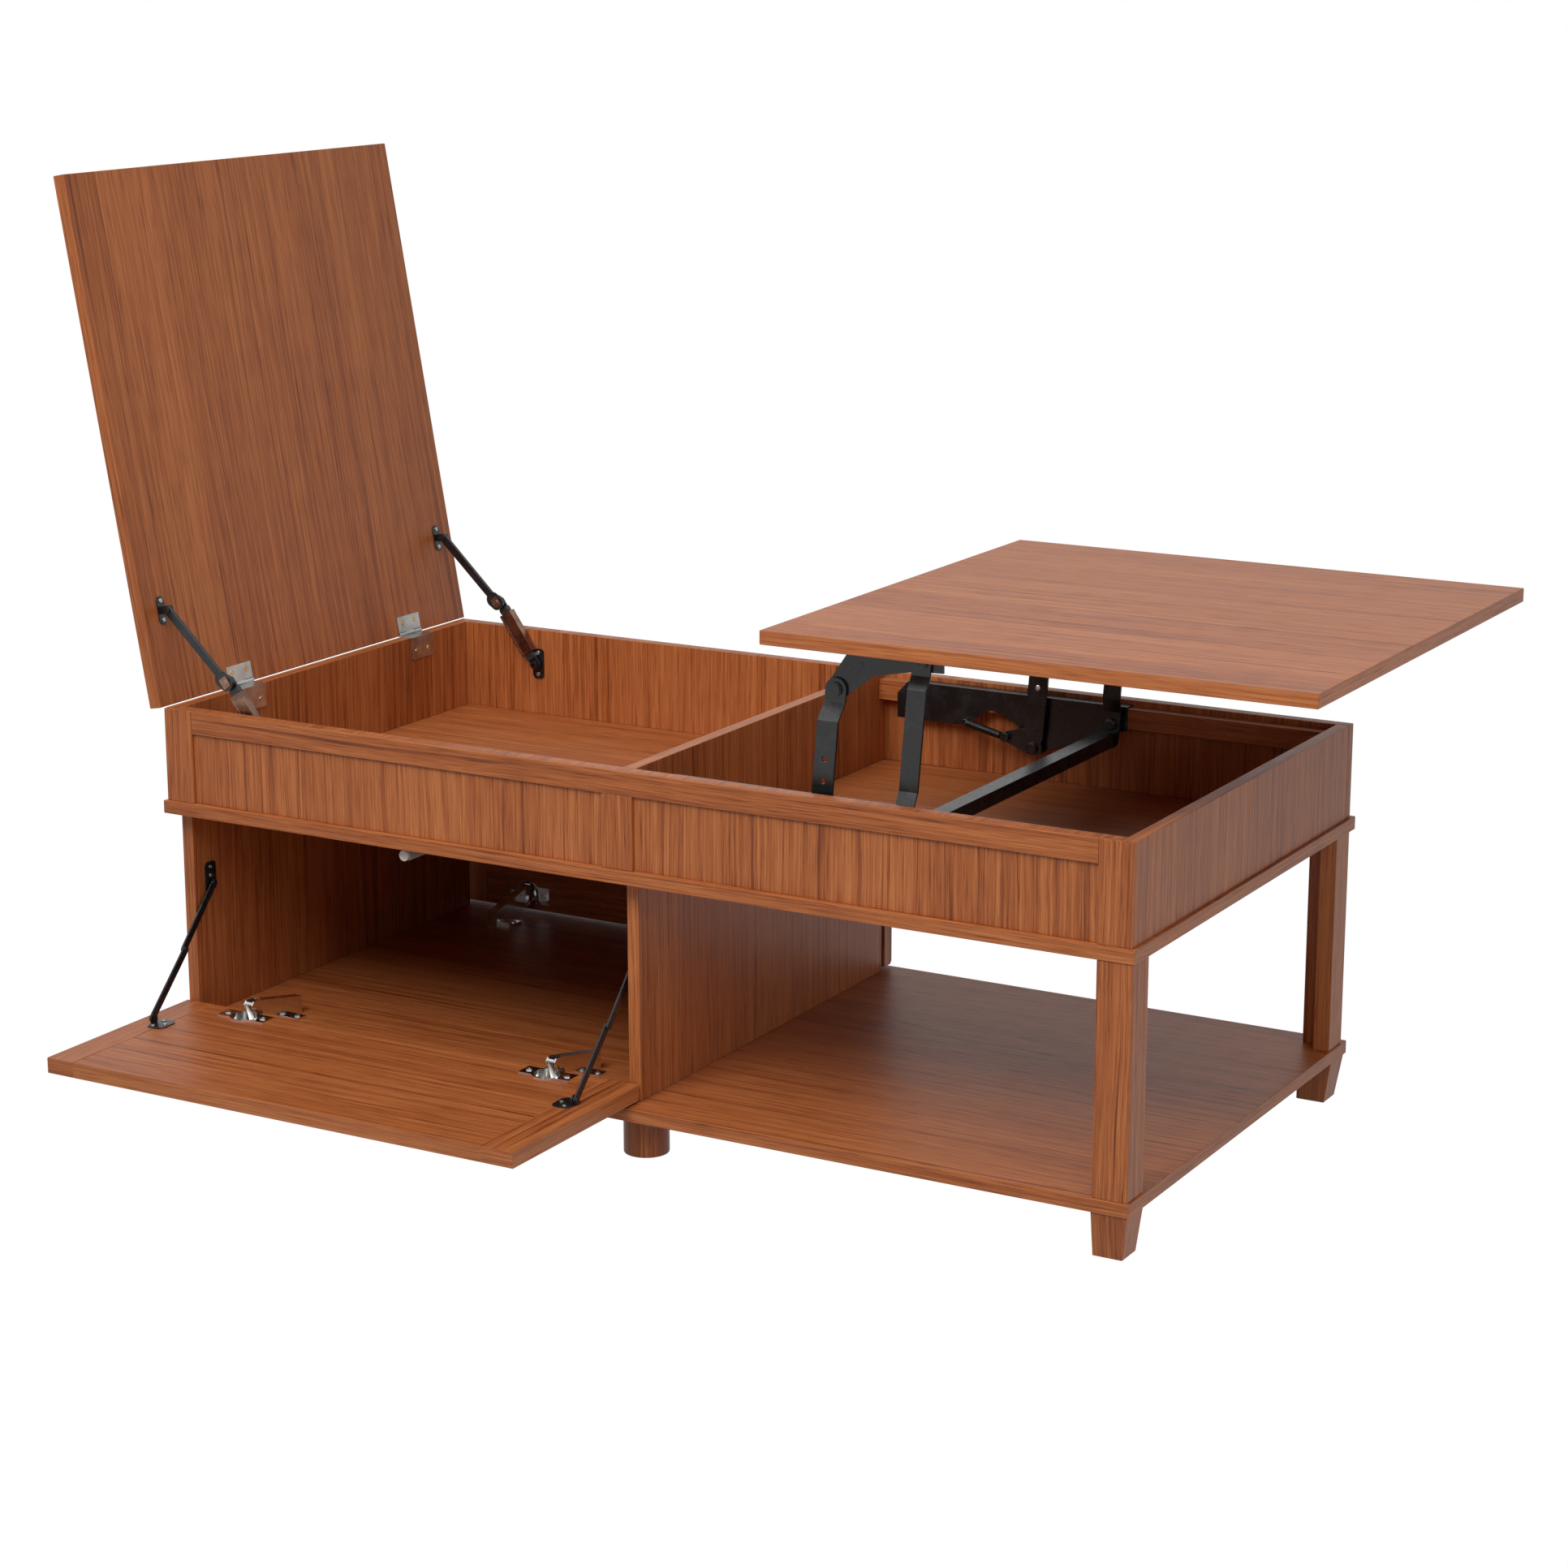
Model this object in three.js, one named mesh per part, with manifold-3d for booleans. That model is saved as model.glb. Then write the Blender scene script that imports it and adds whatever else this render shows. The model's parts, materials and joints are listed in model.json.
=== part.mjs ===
// Lift top coffee table: an open shelf and a drop-front cabinet on tapered feet, under a boxed
// frame with two compartments. The left compartment has a flap lid on soft-close stays, the
// right one a top that rises and swings forward on a parallel linkage.
//
// Millimetres, +Z up. X runs along the table, Y from front to back. The origin is on the floor
// under the middle of the frame. The part is drawn in use: flap open, lift top raised, front
// door dropped, back door shut.

import * as THREE from 'three';
import { mergeVertices } from 'three/addons/utils/BufferGeometryUtils.js';
import Module from 'manifold-3d';

const wasm = await Module();
wasm.setup();

// ---- Driving dimensions -------------------------------------------------------------------

const TABLE_LENGTH = 1200;
const TABLE_DEPTH = 600;
const BOARD = 15; // thickness of the panels
const FOOT_HEIGHT = 49;
const CABINET_HEIGHT = 247; // clear height between shelf and middle board
const WALL_HEIGHT = 107;
const SEAT_GAP = 2; // between the top edges of the frame and the lids

const WALL_INSET = 4; // side walls back from the board ends
const FACE_INSET = 3; // front face frame back from the board edge
const FACE_THICK = 4;
const FACE_STILE = 38;
const FACE_RAIL = 26;
const DIVIDER_OFFSET = 10; // middle of the divider and partition, right of the table's middle

const FOOT_TOP = 40;
const FOOT_TAPER = 7;
const FOOT_INSET = 2;
const ROUND_FOOT = 50; // diameter
const ROUND_FOOT_INSET = 24; // from the board edge to the foot
const LEG = 39;
const LEG_BOARD = 19; // thickness of each board of an angled leg
const LEG_END_INSET = 2;
const FRONT_LEG_INSET = 1.5;
const BACK_LEG_INSET = 12;

const DOOR_THICK = 18;
const DOOR_GAP = 8; // from the shut door to the cabinet edges
const DOOR_FOOT_GAP = 3;
const DOOR_HEAD_GAP = 1.5;
const DOOR_DROP_GAP = 2; // under the open door
const DOOR_SETBACK = 23; // hinge edge of the open door behind the shelf edge
const DOOR_CHAMFER = 3.5;

const CUP = 35; // diameter of the pocket in the door
const CUP_DEPTH = 14.5;
const CUP_WALL = 0.6;
const CUP_UP = 19.5; // middle of the cup above the door's hinge edge
const HINGE_ENDS = { left: 99.5, right: 103.5 }; // hinge middles from the ends of the door
const FLANGE_LENGTH = 64;
const FLANGE_WIDTH = 22.5;
const FLANGE_THICK = 1.5;
const RIM = 1.2; // of the cup, around the pocket
const DOOR_PIN_UP = 5; // door pivot above the hinge edge
const DOOR_PIN_IN = 11.5; // door pivot behind the inner face
const CRANK_TURN = 26; // degrees that the crank turns while the door turns 90
const CRANK_WIDTH = 8;
const CRANK_TOP = 3; // radius at the fixed pivot
const CRANK_END = 1.9; // radius at the door pivot
const CRANK_PIN_RADIUS = 1;
const HINGE_ARM_WIDTH = 12;
const HINGE_ARM_BACK = 100; // far end of the fixed arm from the shelf edge
const HINGE_ARM_FRONT = 45;
const HINGE_ARM_HEIGHT = 20;
const HINGE_WING = 45;
const HINGE_WING_DEPTH = 17;
const HINGE_WING_THICK = 3;
const HINGE_WING_BACK = 86; // far side of the wings from the shelf edge

const STAY_PIN_UP = 90; // door stay: pivot on the door above its hinge edge
const STAY_PIN_OUT = 6; // and in front of its inner face
const STAY_POST_BACK = 28; // upper pivot behind the cabinet edge
const STAY_POST_UP = 155; // and above the shelf
const STAY_UPPER = 87;
const STAY_LOWER = 89.9;
const STAY_LINK_WIDTH = 9;
const STAY_LINK_THICK = 2;
const STAY_OFF = 4; // first link from the cabinet side

const LATCH_BODY = 14; // diameter
const LATCH_LENGTH = 52;
const LATCH_DROP = 11; // axis under the middle board
const LATCH_FOOT = { width: 20, length: 34 };
const LATCH_OFFSET = 10.5; // right of the middle of the cabinet
const PLUNGER_CAP = 12; // diameter
const PLUNGER_CAP_THICK = 5;
const PLUNGER_STEM = 6; // diameter
const PLUNGER_STEM_LENGTH = 30;
const PLUNGER_TRAVEL = 3.3; // pressed in by the shut door

const LID_OPEN = 100; // degrees
const LID_MEETING = 2; // between the flap and the lift top
const PIVOT_IN = 1.5; // flap pivot in from the flap's edge
const PIVOT_DOWN = 0.5; // and below its underside
const LEAF_WIDTH = 45;
const LEAF_THICK = 1.1;
const LEAF_REACH = 22;
const LEAF_DROP = 28;
const KNUCKLE = 2.4; // radius
const LID_HINGE_BACK = 181;
const LID_HINGE_FRONT = -155;

const LID_STAY_UP = 105.2; // pivot on the flap, from its pivot line
const LID_STAY_OUT = 14.5; // and off its underside
const LID_STAY_IN = 109; // lower pivot in from the left wall
const LID_STAY_DOWN = 42.5; // and below the wall tops
const LID_STAY_ROD = 109.3;
const LID_STAY_SLACK = 1.0374; // rod and damper together, past straight when the flap is open
const LID_STAY_ROD_THICK = 4;
const LID_STAY_DAMPER_THICK = 9;
const DAMPER_BODY = 17;
const DAMPER_BODY_LENGTH = 58;

const LIFT_SHIFT = 179; // lift top: travel along the table
const LIFT_RISE = 151;
const ARM_LEAN = 13.3; // from the lower to the upper pivot, along the table
const MAIN_PIN_X = 223.2; // lower pivots, raised or not
const MAIN_PIN_UP = 43.3; // above the middle board
const SECOND_PIN_X = 321.5;
const SECOND_PIN_UP = 82.3;
const ARM_WIDTH = 24;
const SECOND_ARM_WIDTH = 21;
const ARM_THICK = 3;
const ARM_TAIL = 18; // second arm below its lower pivot
const ARM_JOGGLE = 12.8; // sideways step of the arms
const HOOK_BACK = 33; // spring hook from the main arm's lower pivot
const HOOK_UP = 10;
const PLATE_THICK = 2;
const LEAF_SPACE = 0.7; // between the flat parts of the linkage
const PIN = 4; // radius
const HEAD = 7.5;
const HEAD_THICK = 2.2;
const CLEAT_HEIGHT = 24;
const CLEAT_DROP = 7; // below the wall tops
const BAR_WIDTH = 20;
const BAR_HEIGHT = 16;

const CLEARANCE = 0.3; // between pieces that turn, seat or fit
const ROUND_STEPS = 24;

// ---- Places that follow from them ---------------------------------------------------------

const HALF_LENGTH = TABLE_LENGTH / 2;
const HALF_DEPTH = TABLE_DEPTH / 2;
const SHELF_TOP = FOOT_HEIGHT + BOARD;
const MIDDLE_BOTTOM = SHELF_TOP + CABINET_HEIGHT;
const MIDDLE_TOP = MIDDLE_BOTTOM + BOARD;
const WALL_TOP = MIDDLE_TOP + WALL_HEIGHT;
const LID_BOTTOM = WALL_TOP + SEAT_GAP;

const WALL_X = HALF_LENGTH - WALL_INSET;
const WALL_INNER_X = WALL_X - BOARD;
const FACE_Y = HALF_DEPTH - FACE_INSET;
const WALL_Y = FACE_Y - FACE_THICK;
const WALL_INNER_Y = WALL_Y - BOARD;
const DIVIDER_LEFT = DIVIDER_OFFSET - BOARD / 2;
const DIVIDER_RIGHT = DIVIDER_LEFT + BOARD;

const CABINET_EDGE_Y = HALF_DEPTH - DOOR_THICK - DOOR_GAP;
const CABINET_MIDDLE = (DIVIDER_LEFT - WALL_INNER_X) / 2;
const DOOR_MIDDLE = (DIVIDER_RIGHT - WALL_X) / 2;
const DOOR_HALF = (DIVIDER_RIGHT + WALL_X) / 2;
const DOOR_BOTTOM = SHELF_TOP + DOOR_FOOT_GAP;
const DOOR_HEIGHT = MIDDLE_BOTTOM - DOOR_HEAD_GAP - DOOR_BOTTOM;

const degrees = (angle) => THREE.MathUtils.degToRad(angle);

// ---- Shape helpers ------------------------------------------------------------------------

// A closed mesh as a solid for joining and cutting.
function toSolid(geometry) {
  const bare = geometry.index ? geometry.toNonIndexed() : geometry.clone();
  bare.deleteAttribute('normal');
  bare.deleteAttribute('uv');
  const merged = mergeVertices(bare, 1e-4);
  return new wasm.Manifold(
    new wasm.Mesh({
      numProp: 3,
      vertProperties: new Float32Array(merged.attributes.position.array),
      triVerts: new Uint32Array(merged.index.array),
    }),
  );
}

function toGeometry(manifold) {
  const mesh = manifold.getMesh();
  const geometry = new THREE.BufferGeometry();
  geometry.setAttribute('position', new THREE.BufferAttribute(mesh.vertProperties, 3));
  geometry.setIndex(new THREE.BufferAttribute(mesh.triVerts, 1));
  geometry.computeVertexNormals();
  return geometry;
}

function join(first, ...others) {
  return toGeometry(others.reduce((whole, other) => whole.add(toSolid(other)), toSolid(first)));
}

function cut(first, ...tools) {
  return toGeometry(
    tools.reduce((whole, tool) => whole.subtract(toSolid(tool)), toSolid(first)),
  );
}

function common(first, second) {
  return toGeometry(toSolid(first).intersect(toSolid(second)));
}

// The same shape on the other side of the plane through the origin across `axis`.
function mirrored(geometry, axis, wanted = true) {
  const normal = { x: [1, 0, 0], y: [0, 1, 0] }[axis];
  return wanted ? toGeometry(toSolid(geometry).mirror(normal)) : geometry;
}

function box(x0, x1, y0, y1, z0, z1) {
  const geometry = new THREE.BoxGeometry(x1 - x0, y1 - y0, z1 - z0);
  return geometry.translate((x0 + x1) / 2, (y0 + y1) / 2, (z0 + z1) / 2);
}

// A rod along an axis, between two places on it; `at` holds its other two coordinates in order.
function rod(axis, radius, from, to, at, steps = ROUND_STEPS) {
  const geometry = new THREE.CylinderGeometry(radius, radius, to - from, steps);
  const middle = (from + to) / 2;
  if (axis === 'x') {
    return geometry.rotateZ(Math.PI / 2).translate(middle, at[0], at[1]);
  }
  if (axis === 'y') {
    return geometry.translate(at[0], middle, at[1]);
  }
  return geometry.rotateX(Math.PI / 2).translate(at[0], at[1], middle);
}

// A flat shape drawn in X and Z, with its thickness from y0 to y1.
function plateXZ(shape, y0, y1, steps = 6) {
  const settings = { depth: y1 - y0, bevelEnabled: false, curveSegments: steps };
  return new THREE.ExtrudeGeometry(shape, settings).rotateX(Math.PI / 2).translate(0, y1, 0);
}

// A flat shape drawn in Y and Z, with its thickness from x0 to x1.
function plateYZ(shape, x0, x1, steps = 6) {
  const settings = { depth: x1 - x0, bevelEnabled: false, curveSegments: steps };
  const turn = new THREE.Matrix4().makeBasis(
    new THREE.Vector3(0, 1, 0),
    new THREE.Vector3(0, 0, 1),
    new THREE.Vector3(1, 0, 0),
  );
  return new THREE.ExtrudeGeometry(shape, settings).applyMatrix4(turn).translate(x0, 0, 0);
}

function outline(points) {
  return new THREE.Shape(points.map(([across, up]) => new THREE.Vector2(across, up)));
}

// A straight bar outline with round ends about two points.
function linkShape(start, end, startRadius, endRadius = startRadius) {
  const along = new THREE.Vector2().subVectors(end, start);
  const angle = along.angle();
  const spread = Math.acos((startRadius - endRadius) / along.length());
  const shape = new THREE.Shape();
  shape.absarc(start.x, start.y, startRadius, angle + spread, angle - spread + 2 * Math.PI);
  shape.absarc(end.x, end.y, endRadius, angle - spread, angle + spread);
  shape.closePath();
  return shape;
}

// Where two links from two pivots meet, on the left of the way from the first to the second.
function elbow(first, second, firstLength, secondLength) {
  const way = new THREE.Vector2().subVectors(second, first);
  const span = way.length();
  const along = (firstLength ** 2 - secondLength ** 2 + span ** 2) / (2 * span);
  const off = Math.sqrt(firstLength ** 2 - along ** 2);
  const unit = way.normalize();
  return new THREE.Vector2(
    first.x + unit.x * along - unit.y * off,
    first.y + unit.y * along + unit.x * off,
  );
}

// ---- Materials and assembly ---------------------------------------------------------------

const WOOD = { color: 0x9a5a35, roughness: 0.45, metalness: 0 };
const BLACK_STEEL = { color: 0x1a1b1d, roughness: 0.4, metalness: 0.7 };
const ZINC = { color: 0xb9bcc0, roughness: 0.3, metalness: 1 };
const CHROME = { color: 0xd8dadd, roughness: 0.12, metalness: 1 };
const BRONZE = { color: 0x4a3029, roughness: 0.4, metalness: 0.8 };
const WHITE_PLASTIC = { color: 0xeeeeec, roughness: 0.4, metalness: 0 };

const table = new THREE.Group();

function add(name, geometry, finish, parent = table) {
  const mesh = new THREE.Mesh(geometry, new THREE.MeshStandardMaterial(finish));
  mesh.name = name;
  parent.add(mesh);
  return mesh;
}

// The pieces of one side, drawn at the back and turned over for the front.
function bothSides(name, geometry, finish) {
  add(`${name}_back`, geometry, finish);
  add(`${name}_front`, mirrored(geometry, 'y'), finish);
}

// ---- Base: shelf, feet, legs and the cabinet's sides --------------------------------------

// A square foot that narrows downwards on its two outer faces.
function taperedFoot(sideX, sideY) {
  const outerX = HALF_LENGTH - FOOT_INSET;
  const outerY = HALF_DEPTH - FOOT_INSET;
  const geometry = box(outerX - FOOT_TOP, outerX, outerY - FOOT_TOP, outerY, 0, FOOT_HEIGHT);
  const points = geometry.attributes.position;
  for (let i = 0; i < points.count; i += 1) {
    if (points.getZ(i) > 1) continue;
    if (points.getX(i) > outerX - 1) points.setX(i, outerX - FOOT_TAPER);
    if (points.getY(i) > outerY - 1) points.setY(i, outerY - FOOT_TAPER);
  }
  return mirrored(mirrored(geometry, 'x', sideX < 0), 'y', sideY < 0);
}

// An upright of two boards set at a right angle, with the outer corner at the table's corner.
function angledLeg(sideY, inset) {
  const outerX = HALF_LENGTH - LEG_END_INSET;
  const outerY = sideY * (HALF_DEPTH - inset);
  const innerY = outerY - sideY * LEG;
  const stepY = outerY - sideY * LEG_BOARD;
  const corner = outline([
    [outerX, outerY],
    [outerX, innerY],
    [outerX - LEG_BOARD, innerY],
    [outerX - LEG_BOARD, stepY],
    [outerX - LEG, stepY],
    [outerX - LEG, outerY],
  ]);
  const settings = { depth: CABINET_HEIGHT, bevelEnabled: false };
  return new THREE.ExtrudeGeometry(corner, settings).translate(0, 0, SHELF_TOP);
}

function buildBase() {
  const board = (z) => box(-HALF_LENGTH, HALF_LENGTH, -HALF_DEPTH, HALF_DEPTH, z, z + BOARD);
  add('bottom_shelf', board(FOOT_HEIGHT), WOOD);
  add('middle_board', board(MIDDLE_BOTTOM), WOOD);

  const ends = [['left', -1], ['right', 1]];
  const faces = [['front', -1], ['back', 1]];
  for (const [face, sideY] of faces) {
    for (const [end, sideX] of ends) {
      add(`foot_${face}_${end}`, taperedFoot(sideX, sideY), WOOD);
    }
    const footY = sideY * (HALF_DEPTH - ROUND_FOOT_INSET - ROUND_FOOT / 2);
    const round = rod('z', ROUND_FOOT / 2, 0, FOOT_HEIGHT, [DIVIDER_OFFSET, footY], 2 * ROUND_STEPS);
    add(`centre_foot_${face}`, round, WOOD);
  }
  add('leg_front_right', angledLeg(-1, FRONT_LEG_INSET), WOOD);
  add('leg_back_right', angledLeg(1, BACK_LEG_INSET), WOOD);

  const upright = (x) =>
    box(x, x + BOARD, -CABINET_EDGE_Y, CABINET_EDGE_Y, SHELF_TOP, MIDDLE_BOTTOM);
  add('cabinet_side', upright(-WALL_X), WOOD);
  add('cabinet_partition', upright(DIVIDER_LEFT), WOOD);
}

// ---- Frame: the boxed compartments above the middle board ---------------------------------

const CLEAT_TOP = WALL_TOP - CLEAT_DROP;
const PIVOT = new THREE.Vector3(-HALF_LENGTH + PIVOT_IN, 0, LID_BOTTOM - PIVOT_DOWN);

function faceFrame() {
  const front = -FACE_Y;
  const back = front + FACE_THICK;
  const middle = DIVIDER_OFFSET - DIVIDER_OFFSET / 2;
  const panel = (x0, x1) => box(x0, x1, front - 1, back + 1, MIDDLE_TOP - 1, WALL_TOP - FACE_RAIL);
  return cut(
    box(-WALL_X, WALL_X, front, back, MIDDLE_TOP, WALL_TOP),
    panel(-WALL_X + FACE_STILE, middle - FACE_STILE / 2),
    panel(middle + FACE_STILE / 2, WALL_X - FACE_STILE),
  );
}

// The left wall's top edge is let in for the hinge leaves.
function leftWall() {
  const housing = (y) =>
    box(
      -WALL_X - 1,
      -WALL_INNER_X + 1,
      y - LEAF_WIDTH / 2 - CLEARANCE,
      y + LEAF_WIDTH / 2 + CLEARANCE,
      WALL_TOP - LEAF_THICK - CLEARANCE,
      WALL_TOP + 1,
    );
  const wall = box(-WALL_X, -WALL_INNER_X, -WALL_Y, WALL_INNER_Y, MIDDLE_TOP, WALL_TOP);
  return cut(wall, housing(LID_HINGE_FRONT), housing(LID_HINGE_BACK));
}

function buildFrame() {
  const upTo = WALL_TOP;
  add('wall_left', leftWall(), WOOD);
  add('wall_right', box(WALL_INNER_X, WALL_X, -WALL_Y, WALL_INNER_Y, MIDDLE_TOP, upTo), WOOD);
  const front = box(-WALL_INNER_X, WALL_INNER_X, -WALL_Y, -WALL_INNER_Y, MIDDLE_TOP, upTo);
  add('wall_front', front, WOOD);
  add('wall_back', box(-WALL_X, WALL_X, WALL_INNER_Y, WALL_Y, MIDDLE_TOP, upTo), WOOD);
  add('face_frame', faceFrame(), WOOD);
  const divider = box(DIVIDER_LEFT, DIVIDER_RIGHT, -WALL_INNER_Y, WALL_INNER_Y, MIDDLE_TOP, upTo);
  add('divider', divider, WOOD);
  const cleat = (y0) =>
    box(DIVIDER_RIGHT, WALL_INNER_X, y0, y0 + BOARD, CLEAT_TOP - CLEAT_HEIGHT, CLEAT_TOP);
  add('cleat_front', cleat(-WALL_INNER_Y), WOOD);
  add('cleat_back', cleat(WALL_INNER_Y - BOARD), WOOD);
}

// ---- Flap lid with its hinges and stays ---------------------------------------------------

// A group that turns its pieces, drawn shut, to the open position about the flap's pivot.
function flapGroup() {
  const turned = new THREE.Group();
  turned.position.copy(PIVOT);
  turned.rotation.y = -degrees(LID_OPEN);
  table.add(turned);
  return turned;
}

function flapLid() {
  const board = box(-HALF_LENGTH, -LID_MEETING / 2, -HALF_DEPTH, HALF_DEPTH, LID_BOTTOM, LID_BOTTOM + BOARD);
  const notch = (y) =>
    box(
      -HALF_LENGTH - 1,
      PIVOT.x + KNUCKLE + CLEARANCE,
      y - LEAF_WIDTH / 2 - CLEARANCE,
      y + LEAF_WIDTH / 2 + CLEARANCE,
      LID_BOTTOM - 1,
      PIVOT.z + KNUCKLE + CLEARANCE,
    );
  return cut(board, notch(LID_HINGE_FRONT), notch(LID_HINGE_BACK));
}

// Fixed leaf: lies in the wall's top edge, turns down its inner face and carries the pin.
function fixedLeaf(y) {
  const start = y - LEAF_WIDTH / 2;
  const end = y + LEAF_WIDTH / 2;
  const third = LEAF_WIDTH / 3;
  const at = [PIVOT.x, PIVOT.z];
  const floor = WALL_TOP - LEAF_THICK;
  const inside = -WALL_INNER_X + CLEARANCE;
  const leaf = join(
    box(PIVOT.x, inside + LEAF_THICK, start, end, floor, WALL_TOP - CLEARANCE / 3),
    box(inside, inside + LEAF_THICK, start, end, WALL_TOP - LEAF_DROP, WALL_TOP - CLEARANCE),
  );
  return join(
    cut(leaf, rod('y', KNUCKLE + CLEARANCE, start + third, end - third, at)),
    rod('y', KNUCKLE, start, start + third, at),
    rod('y', KNUCKLE, end - third, end, at),
    rod('y', 1, start + 1, end - 1, at, 12),
  );
}

// Moving leaf: screwed under the flap, with the middle knuckle.
function movingLeaf(y) {
  const start = y - LEAF_WIDTH / 2;
  const end = y + LEAF_WIDTH / 2;
  const third = LEAF_WIDTH / 3;
  const top = LID_BOTTOM - CLEARANCE;
  const at = [PIVOT.x, PIVOT.z];
  const from = start + third + CLEARANCE;
  const to = end - third - CLEARANCE;
  const edge = PIVOT.x + KNUCKLE + CLEARANCE;
  const leaf = join(
    box(edge, PIVOT.x + LEAF_REACH, start, end, top - LEAF_THICK, top),
    box(PIVOT.x, edge + 1, from, to, top - LEAF_THICK, top),
    rod('y', KNUCKLE, from, to, at),
  );
  return cut(leaf, rod('y', 1 + CLEARANCE, from - 1, to + 1, at, 12));
}

const shut = (x, z) => new THREE.Vector2(x - PIVOT.x, z - PIVOT.z);
const LID_ROD_PIN = shut(PIVOT.x + LID_STAY_UP, LID_BOTTOM - LID_STAY_OUT)
  .rotateAround(new THREE.Vector2(), degrees(LID_OPEN))
  .add(new THREE.Vector2(PIVOT.x, PIVOT.z));
const LID_STAY_FOOT = new THREE.Vector2(-WALL_INNER_X + LID_STAY_IN, WALL_TOP - LID_STAY_DOWN);
const LID_STAY_DAMPER = LID_ROD_PIN.distanceTo(LID_STAY_FOOT) + LID_STAY_SLACK - LID_STAY_ROD;
const LID_ELBOW = elbow(LID_ROD_PIN, LID_STAY_FOOT, LID_STAY_ROD, LID_STAY_DAMPER);
const LID_STAY_Y = WALL_INNER_Y - 2;
const LID_STAY_ROD_Y = LID_STAY_Y - LID_STAY_DAMPER_THICK - 1 - LID_STAY_ROD_THICK;
const LID_STAY_APART = LID_STAY_Y + LID_STAY_ROD_Y;

// One stay, drawn at the back: a flat rod with a round boss at the elbow, then a thin blade with a
// closed damper body along its middle. The front stay is the same part moved, not mirrored.
function stayRod() {
  const inner = LID_STAY_ROD_Y;
  const outer = inner + LID_STAY_ROD_THICK;
  const bar = plateXZ(linkShape(LID_ROD_PIN, LID_ELBOW, 5, 4.5), inner, outer);
  const boss = rod('y', 9.5, inner, outer, [LID_ELBOW.x, LID_ELBOW.y], 32);
  const eye = rod('y', 2, inner - 1, outer + 1, [LID_ROD_PIN.x, LID_ROD_PIN.y], 12);
  return cut(join(bar, boss), eye);
}

function stayDamper() {
  const inner = LID_STAY_Y - LID_STAY_DAMPER_THICK;
  const blade = plateXZ(linkShape(LID_ELBOW, LID_STAY_FOOT, 6), inner + 3, LID_STAY_Y - 3);
  const way = new THREE.Vector2().subVectors(LID_STAY_FOOT, LID_ELBOW);
  const middle = new THREE.Vector2().addVectors(LID_ELBOW, LID_STAY_FOOT).multiplyScalar(0.5);
  const [half, rise] = [DAMPER_BODY_LENGTH / 2, DAMPER_BODY / 2];
  const body = box(-half, half, inner, LID_STAY_Y, -rise, rise);
  body.rotateY(-way.angle()).translate(middle.x, 0, middle.y);
  const eye = rod('y', 2, inner, LID_STAY_Y, [LID_STAY_FOOT.x, LID_STAY_FOOT.y], 12);
  return cut(join(blade, body), eye);
}

function buildFlap() {
  const turned = flapGroup();
  const drawnShut = (geometry) => geometry.translate(-PIVOT.x, 0, -PIVOT.z);
  add('flap_lid', drawnShut(flapLid()), WOOD, turned);
  for (const [face, y] of [['front', LID_HINGE_FRONT], ['back', LID_HINGE_BACK]]) {
    add(`lid_hinge_leaf_fixed_${face}`, fixedLeaf(y), ZINC);
    add(`lid_hinge_leaf_moving_${face}`, drawnShut(movingLeaf(y)), ZINC, turned);
  }
  const stayParts = [['lid_stay_rod', stayRod(), BLACK_STEEL], ['lid_stay_damper', stayDamper(), BRONZE]];
  for (const [name, geometry, finish] of stayParts) {
    add(`${name}_back`, geometry, finish);
    add(`${name}_front`, geometry.clone().translate(0, -LID_STAY_APART, 0), finish);
  }
}

// ---- Lift top and its linkage -------------------------------------------------------------

const ARM_RISE = (LIFT_SHIFT ** 2 + LIFT_RISE ** 2 - 2 * LIFT_SHIFT * ARM_LEAN) / (2 * LIFT_RISE);
const ARM = new THREE.Vector2(ARM_LEAN, ARM_RISE);
const MAIN_LOW = new THREE.Vector2(MAIN_PIN_X, MIDDLE_TOP + MAIN_PIN_UP);
const SECOND_LOW = new THREE.Vector2(SECOND_PIN_X, MIDDLE_TOP + SECOND_PIN_UP);
const MAIN_HIGH = MAIN_LOW.clone().add(ARM);
const SECOND_HIGH = SECOND_LOW.clone().add(ARM);
const HOOK = new THREE.Vector2(MAIN_LOW.x - HOOK_BACK, MAIN_LOW.y + HOOK_UP);
const RAISED_BOTTOM = LID_BOTTOM + LIFT_RISE;

// Distances from the table's middle line to the flat parts, from the walls inwards.
const PLATE_OUT = WALL_INNER_Y - BOARD - CLEARANCE;
const PLATE_IN = PLATE_OUT - PLATE_THICK;
const ARM_OUT = PLATE_IN - 5.7;
const ARM_IN = ARM_OUT - ARM_THICK;
const ARM_TOP_OUT = ARM_OUT - ARM_JOGGLE;
const ARM_TOP_IN = ARM_IN - ARM_JOGGLE;
const LEAF_OUT = ARM_TOP_IN - LEAF_SPACE;
const LEAF_IN = LEAF_OUT - PLATE_THICK;

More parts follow.
